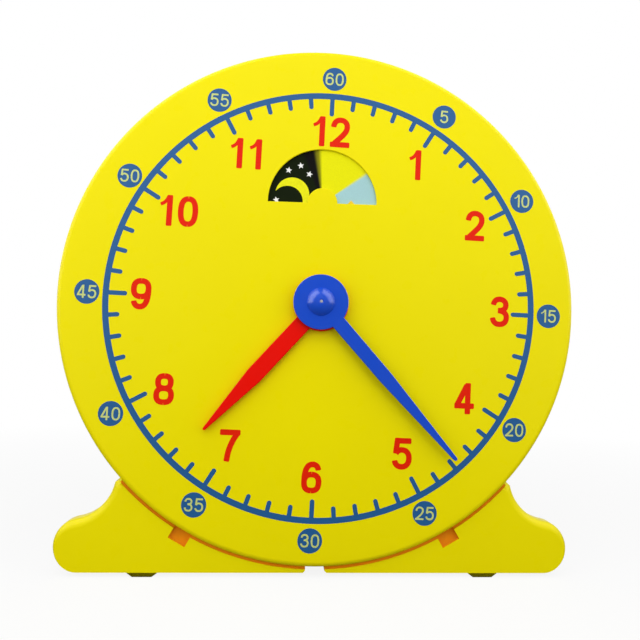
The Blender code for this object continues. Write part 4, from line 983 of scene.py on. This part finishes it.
def foot_outline(top_inset, side_inset=0.0):
    """Front view of the right foot about the dial's centre, its top and other sides moved in by the insets.

    The outer end is a round whose inset goes smoothly from side to top. A straight slope joins it to a hollow
    neck round with a short blunt end, and the saddle is an arc about the dial's centre.
    """
    bottom = -FOOT_DROP + side_inset
    saddle = SADDLE + side_inset
    normal = np.array([math.sin(FOOT_SLOPE), math.cos(FOOT_SLOPE)])
    along = np.array([math.cos(FOOT_SLOPE), -math.sin(FOOT_SLOPE)])
    end = np.array([FOOT_HALF_SPAN - FOOT_END_RADIUS, -FOOT_DROP + FOOT_END_RADIUS])
    tip = polar(math.pi - FOOT_TIP_ANGLE, SADDLE + FOOT_TIP_WIDTH)
    from_tip = end + (FOOT_END_RADIUS + FOOT_NECK_RADIUS) * normal - tip
    forward = from_tip @ along
    back = forward - math.sqrt(forward ** 2 - from_tip @ from_tip + FOOT_NECK_RADIUS ** 2)
    neck = from_tip + tip - back * along
    neck_radius = FOOT_NECK_RADIUS + top_inset
    blunt = saddle + FOOT_TIP_WIDTH
    distance = np.linalg.norm(neck)
    spread = math.acos((distance ** 2 + blunt ** 2 - neck_radius ** 2) / (2 * distance * blunt))
    tip_angle = math.atan2(neck[0], neck[1]) + spread
    if saddle > -bottom:
        inner = np.array([[math.sqrt(saddle ** 2 - bottom ** 2), bottom]])
    else:
        x = FOOT_GAP / 2 + side_inset
        inner = np.array([[x, -math.sqrt(saddle ** 2 - x ** 2)], [x, bottom + FOOT_CORNER],
                          [x + FOOT_CORNER, bottom]])
    share = np.linspace(0, 1, 33)
    inset = side_inset + (top_inset - side_inset) * share ** 2 * (3 - 2 * share)
    end_arc = end + polar(math.pi - (math.pi - FOOT_SLOPE) * share, FOOT_END_RADIUS - inset)
    tip_point = polar(tip_angle, blunt)
    neck_end = math.atan2(tip_point[0] - neck[0], tip_point[1] - neck[1]) % (2 * math.pi)
    neck_arc = neck + polar(np.linspace(math.pi + FOOT_SLOPE, neck_end, 25), neck_radius)
    last = math.atan2(inner[0, 0], inner[0, 1])
    saddle_arc = polar(np.linspace(tip_angle, last, 61)[:-1], saddle)
    return np.concatenate([inner, end_arc, neck_arc, saddle_arc])


def block(outline, front, back):
    """Closed solid between two depths with one outline."""
    return [lofted([at_depth(outline, front), at_depth(outline, back)]), sheet(outline, [], front),
            sheet(outline, [], back)]


def radial_block(low, high, front, back, width):
    """Bar across the radius that the tongue and its notch lie on."""
    angle = math.pi - TONGUE_ANGLE
    out, across = polar(angle, 1.0), polar(angle + math.pi / 2, 1.0)
    corners = [low * out - width / 2 * across, high * out - width / 2 * across,
               high * out + width / 2 * across, low * out + width / 2 * across]
    return block(np.array(corners), front, back)


def foot_body():
    """Hollow shell: the outline over the front fillet and back to the rear, and the hollow inside."""
    outer = foot_outline(0.0)
    rings = [*rounded(foot_outline, FOOT_FILLET, FOOT_FRONT, 11), at_depth(outer, FOOT_REAR)]
    inner = foot_outline(WALL, WALL)
    hollow = lofted([at_depth(inner, FOOT_FRONT + WALL), at_depth(inner, FOOT_REAR)])
    return [lofted(rings), sheet(foot_outline(FOOT_FILLET), [], FOOT_FRONT),
            sheet(outer, [inner], FOOT_REAR), hollow, sheet(inner, [], FOOT_FRONT + WALL)]


def band(low, high, angles, front, back):
    """Part of a ring about the dial's centre, between two radii, angles from straight down and depths."""
    arc = math.pi - np.linspace(*angles, 25)
    return block(np.concatenate([polar(arc, high), polar(arc[::-1], low)]), front, back)


def skid():
    """Bar under the foot, narrower at the table, that runs back along it and rises a little inside the foot.

    Its wide corners start just inside the foot's wall, so that no two faces lie in one plane.
    """
    sole, bottom = -FOOT_DROP - SKID_HEIGHT, -FOOT_DROP
    wide, narrow, low = SKID_TOP / 2, SKID_SOLE / 2, bottom + SKID_OVERLAP
    rings = []
    for depth, rise in zip(SKID_DEPTHS, SKID_RISES):
        high = bottom + rise
        section = [(-narrow, sole), (narrow, sole), (wide, low), (wide, high), (-wide, high), (-wide, low)]
        rings.append((np.array(section) + np.array([SKID_PLACE, 0.0]), depth))
    return [lofted([at_depth(*ring) for ring in rings]), sheet(rings[0][0], [], rings[0][1]),
            sheet(rings[-1][0], [], rings[-1][1])]


def foot_additions():
    """Tongue with its backing, cheek on its shelf and skid, which the mould forms with the shell."""
    return [radial_block(TONGUE_END, SADDLE + ROOT, TONGUE_FRONT, TONGUE_BACK, TONGUE_WIDTH),
            radial_block(SADDLE + WALL - ROOT / 2, SADDLE + NOTCH_DEPTH + 2 * ROOT, GUSSET_FRONT, TONGUE_BACK,
                         NOTCH_WIDTH + 4 * ROOT),
            band(SADDLE - CHEEK_HEIGHT, SADDLE + ROOT, CHEEK_ANGLES, CHEEK_FRONT, CHEEK_BACK),
            band(SHELF_INNER, SHELF_OUTER, SHELF_ANGLES, FOOT_REAR - ROOT, SHELF_BACK), skid()]


def mirrored(patches):
    """The same patches on the other side of the dial."""
    return [(points * np.array([-1.0, 1.0, 1.0]), faces) for points, faces in patches]


def settled(piece, additions, cuts):
    """Joins the additions to the piece, takes the cuts away, and leaves one mesh with fresh creases.

    The faces that a cut leaves keep the cutter's material. Each flat area becomes one face, so that its
    shading stays flat up to the round beside it.
    """
    for tools, operation in ((additions, "UNION"), (cuts, "DIFFERENCE")):
        for tool in tools:
            joint = piece.modifiers.new(tool.name, "BOOLEAN")
            joint.operation = operation
            joint.object = tool
            joint.material_mode = "TRANSFER"
    piece.modifiers.remove(piece.modifiers["flat_faces"])
    graph = bpy.context.evaluated_depsgraph_get()
    mesh = bpy.data.meshes.new_from_object(piece.evaluated_get(graph))
    name = piece.name
    for thing in [piece, *additions, *cuts]:
        bpy.data.objects.remove(thing, do_unlink=True)
    cleaned(mesh, lambda work: bmesh.ops.dissolve_limit(work, angle_limit=FLAT, verts=work.verts,
                                                        edges=work.edges, delimit={"MATERIAL"}))
    return finished(name, mesh)


# Painted shade: the notch and relief cutters carry this deep orange onto the faces of the seam and the notch.
seam_painted_shade = moulded_plastic("seam_painted_shade", (SEAM_PAINTED_SHADE, SEAM_PAINTED_SHADE_DEEP), gloss=0.45, sheen=0.1)
for side, turn_over in (("right", lambda patches: patches), ("left", mirrored)):
    notch = radial_block(SADDLE - ROOT, SADDLE + NOTCH_DEPTH, FOOT_FRONT - ROOT, NOTCH_BACK, NOTCH_WIDTH)
    relief = band(SADDLE - ROOT, SADDLE + RELIEF_WIDTH, (0.0, RELIEF_END), FOOT_FRONT - ROOT, RELIEF_BACK)
    additions = [moulding(f"{side}_addition_{index}", turn_over(patches), yellow_plastic)
                 for index, patches in enumerate(foot_additions())]
    cuts = [moulding(f"{side}_{name}", turn_over(patches), seam_painted_shade)
            for name, patches in (("notch", notch), ("relief", relief))]
    foot = moulding(f"{side}_foot_moulding", turn_over(foot_body()), yellow_plastic)
    fit(settled(foot, additions, cuts), "case", "yellow_plastic", f"{side}_foot")


# Rear cover
# Flat yellow plate let into the back of the rim, raised a little round the knob.

COVER_FRONT = 21.5 * MM
COVER_RADIUS = 147.2 * MM
COVER_BORE = 3.3 * MM
COVER_STEP = 46 * MM
COVER_STEP_BACK = 24.6 * MM
COVER_BEARING = 7.3 * MM
BEARING_FRONT = 17.4 * MM
COVER_RIB_INNER = 89 * MM
COVER_RIB_OUTER = 91 * MM
COVER_RIB_FRONT = 18.5 * MM

cover_section = [(COVER_BORE, BEARING_FRONT), (COVER_BEARING, BEARING_FRONT), (COVER_BEARING, COVER_FRONT),
                 (COVER_RIB_INNER, COVER_FRONT), (COVER_RIB_INNER, COVER_RIB_FRONT),
                 (COVER_RIB_OUTER, COVER_RIB_FRONT), (COVER_RIB_OUTER, COVER_FRONT),
                 (COVER_RADIUS, COVER_FRONT), (COVER_RADIUS, CASE_DEPTH - EDGE_BREAK),
                 (COVER_RADIUS - EDGE_BREAK, CASE_DEPTH),
                 (COVER_STEP, CASE_DEPTH), (COVER_STEP - EDGE_BREAK, COVER_STEP_BACK),
                 (COVER_BORE, COVER_STEP_BACK), (COVER_BORE, BEARING_FRONT)]
cover = moulding("rear_cover_moulding", [turned(cover_section, ROUND_STEPS)], yellow_plastic)
fit(cover, "case", "yellow_plastic", "rear_cover")


# Setting knob
# Blue fluted knob behind the cover. It sits on the flat of the arbor, and a sunk screw holds it.

KNOB_RADIUS = 18 * MM
KNOB_FRONT = 25.4 * MM
KNOB_BACK = 37.4 * MM
KNOB_LOBES = 9
KNOB_FLUTE = 1.6 * MM
KNOB_FILLET = 1.2 * MM
KNOB_RECESS = 2.6 * MM
KNOB_SEAT = 35.6 * MM
KNOB_BORE = 3.3 * MM
KNOB_BORE_END = 33.8 * MM


def knob_outline(inset):
    """Round whose radius falls and rises with the cosine of the angle, once for each finger flute."""
    angle = full_turn(KNOB_LOBES * 32)
    return polar(angle, KNOB_RADIUS - inset - KNOB_FLUTE * (1 - np.cos(KNOB_LOBES * angle)) / 2)


def knob_patches():
    """Straight fluted sides, a rounded back edge, a recess for the screw and a bore for the arbor."""
    back_edge = rounded(knob_outline, KNOB_FILLET, KNOB_BACK, 9, -1)
    rings = [at_depth(knob_outline(0.0), KNOB_FRONT), *back_edge[::-1]]
    recess = polar(full_turn(BORE_STEPS), KNOB_RECESS)
    bore = polar(full_turn(BORE_STEPS), KNOB_BORE)
    return [lofted(rings), sheet(knob_outline(KNOB_FILLET), [recess], KNOB_BACK),
            sheet(knob_outline(0.0), [bore], KNOB_FRONT),
            turned([(KNOB_RECESS, KNOB_BACK), (KNOB_RECESS, KNOB_SEAT), (0, KNOB_SEAT)], BORE_STEPS),
            turned([(KNOB_BORE, KNOB_FRONT), (KNOB_BORE, KNOB_BORE_END), (0, KNOB_BORE_END)], BORE_STEPS)]


blue_plastic = moulded_plastic("knob_blue", (BLUE, BLUE_SHADE), gloss=0.2)
knob = moulding("setting_knob_moulding", knob_patches(), blue_plastic)
fit(knob, "minute", "blue_plastic", "setting_knob")


# Screws
# Plated pan-head screws with a cross recess: six hold the rear cover, one the knob.

COVER_SCREW = (1.5 * MM, 3.4 * MM, 2.2 * MM, 12 * MM)
SMALL_SCREW = (1.0 * MM, 2.3 * MM, 1.5 * MM, 7 * MM)
COVER_SCREW_SEAT = 24.3 * MM
KNOB_SCREW_SEAT = 35.9 * MM
CROSS_WIDTH_SHARE = 0.2
CROSS_REACH_SHARE = 0.62
CROSS_DEPTH_SHARE = 0.55
CROSS_SIDE = 0.06
CROSS_END = 0.25
HEAD_WALL_SHARE = 0.35
DOME_BEND_SHARE = 0.98
SCREW_TURN = 0.7
KNOB_SCREW_TURN = 0.4
SCREW_STEPS = 96
PLATING_SIZE = 1.5 * MM
PLATING_GLOSS = (0.24, 0.38)

STEEL = (0.62, 0.62, 0.64)
DULL_STEEL = (0.53, 0.53, 0.55)


def screw_patches(sizes, seat, place, turn):
    """Shank, point and head wall turned on the axis, and a dome that is sunk under a soft-edged cross.

    The wall ends at the dome's rim, which keeps the screw closed.
    """
    shank, head, height, length = sizes
    angle = full_turn(SCREW_STEPS)[None, :]
    share = np.concatenate([np.linspace(1, 0.02, 40), [0.0]])[:, None]
    bulge = np.sqrt(1 - share ** 2 * DOME_BEND_SHARE)
    dome = seat + height * (HEAD_WALL_SHARE + (1 - HEAD_WALL_SHARE) * bulge)
    body = [(0, seat - length), (shank, seat - length + 2 * shank), (shank, seat), (head, seat),
            (head, dome[0, 0])]
    x, z = share * np.sin(angle + turn), share * np.cos(angle + turn)
    arm = np.clip((CROSS_WIDTH_SHARE - np.minimum(np.abs(x), np.abs(z))) / CROSS_SIDE, 0, 1)
    reach = np.clip((CROSS_REACH_SHARE - np.maximum(np.abs(x), np.abs(z))) / CROSS_END, 0, 1)
    depth = dome - CROSS_DEPTH_SHARE * height * (arm * reach)
    top = at_depth(polar(angle, share * head) + np.asarray(place), depth)
    return [turned(body, SCREW_STEPS, place), lofted(top)]


def plated_steel(name):
    """Bright zinc plating: metal with a fine grain from rolling and a little dulling in spots."""
    material, tree, inputs, place = new_material(name)
    inputs["Metallic"].default_value = 1.0
    spots = noise(tree, place, PLATING_SIZE, 4.0)
    uneven(tree, inputs, spots, spots, (STEEL, DULL_STEEL), PLATING_GLOSS)
    return material


steel = plated_steel("plated_steel")
for index, place in enumerate(polar(SCREW_ANGLES, SCREW_CIRCLE)):
    screw = moulding(f"cover_screw_{index + 1}_steel",
                     screw_patches(COVER_SCREW, COVER_SCREW_SEAT, place, SCREW_TURN * index), steel)
    fit(screw, "case", "steel", f"cover_screw_{index + 1}")
knob_screw_patches = screw_patches(SMALL_SCREW, KNOB_SCREW_SEAT, (0.0, 0.0), KNOB_SCREW_TURN)
knob_screw = moulding("knob_screw_steel", knob_screw_patches, steel)
fit(knob_screw, "minute", "steel", "knob_screw")


# Wheels and shaft
# The gears inside are plain white mouldings.
# The arbor, the washers, the spring and the post screws are plated steel.

WHITE = (0.82, 0.82, 0.78)
WHITE_SHADE = (0.78, 0.78, 0.73)

gear_white = moulded_plastic("gear_white", (WHITE, WHITE_SHADE), gloss=0.4)
INSIDE_FINISHES = {
    gear_white: ("hour_wheel", "minute_pinion", "intermediate_gear", "day_night_wheel"),
    steel: ("minute_arbor", "friction_spring", "intermediate_washer", "intermediate_screw",
            "day_night_washer", "day_night_screw")}
for finish, names in INSIDE_FINISHES.items():
    for name in names:
        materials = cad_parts[name].data.materials
        materials.clear()
        materials.append(finish)
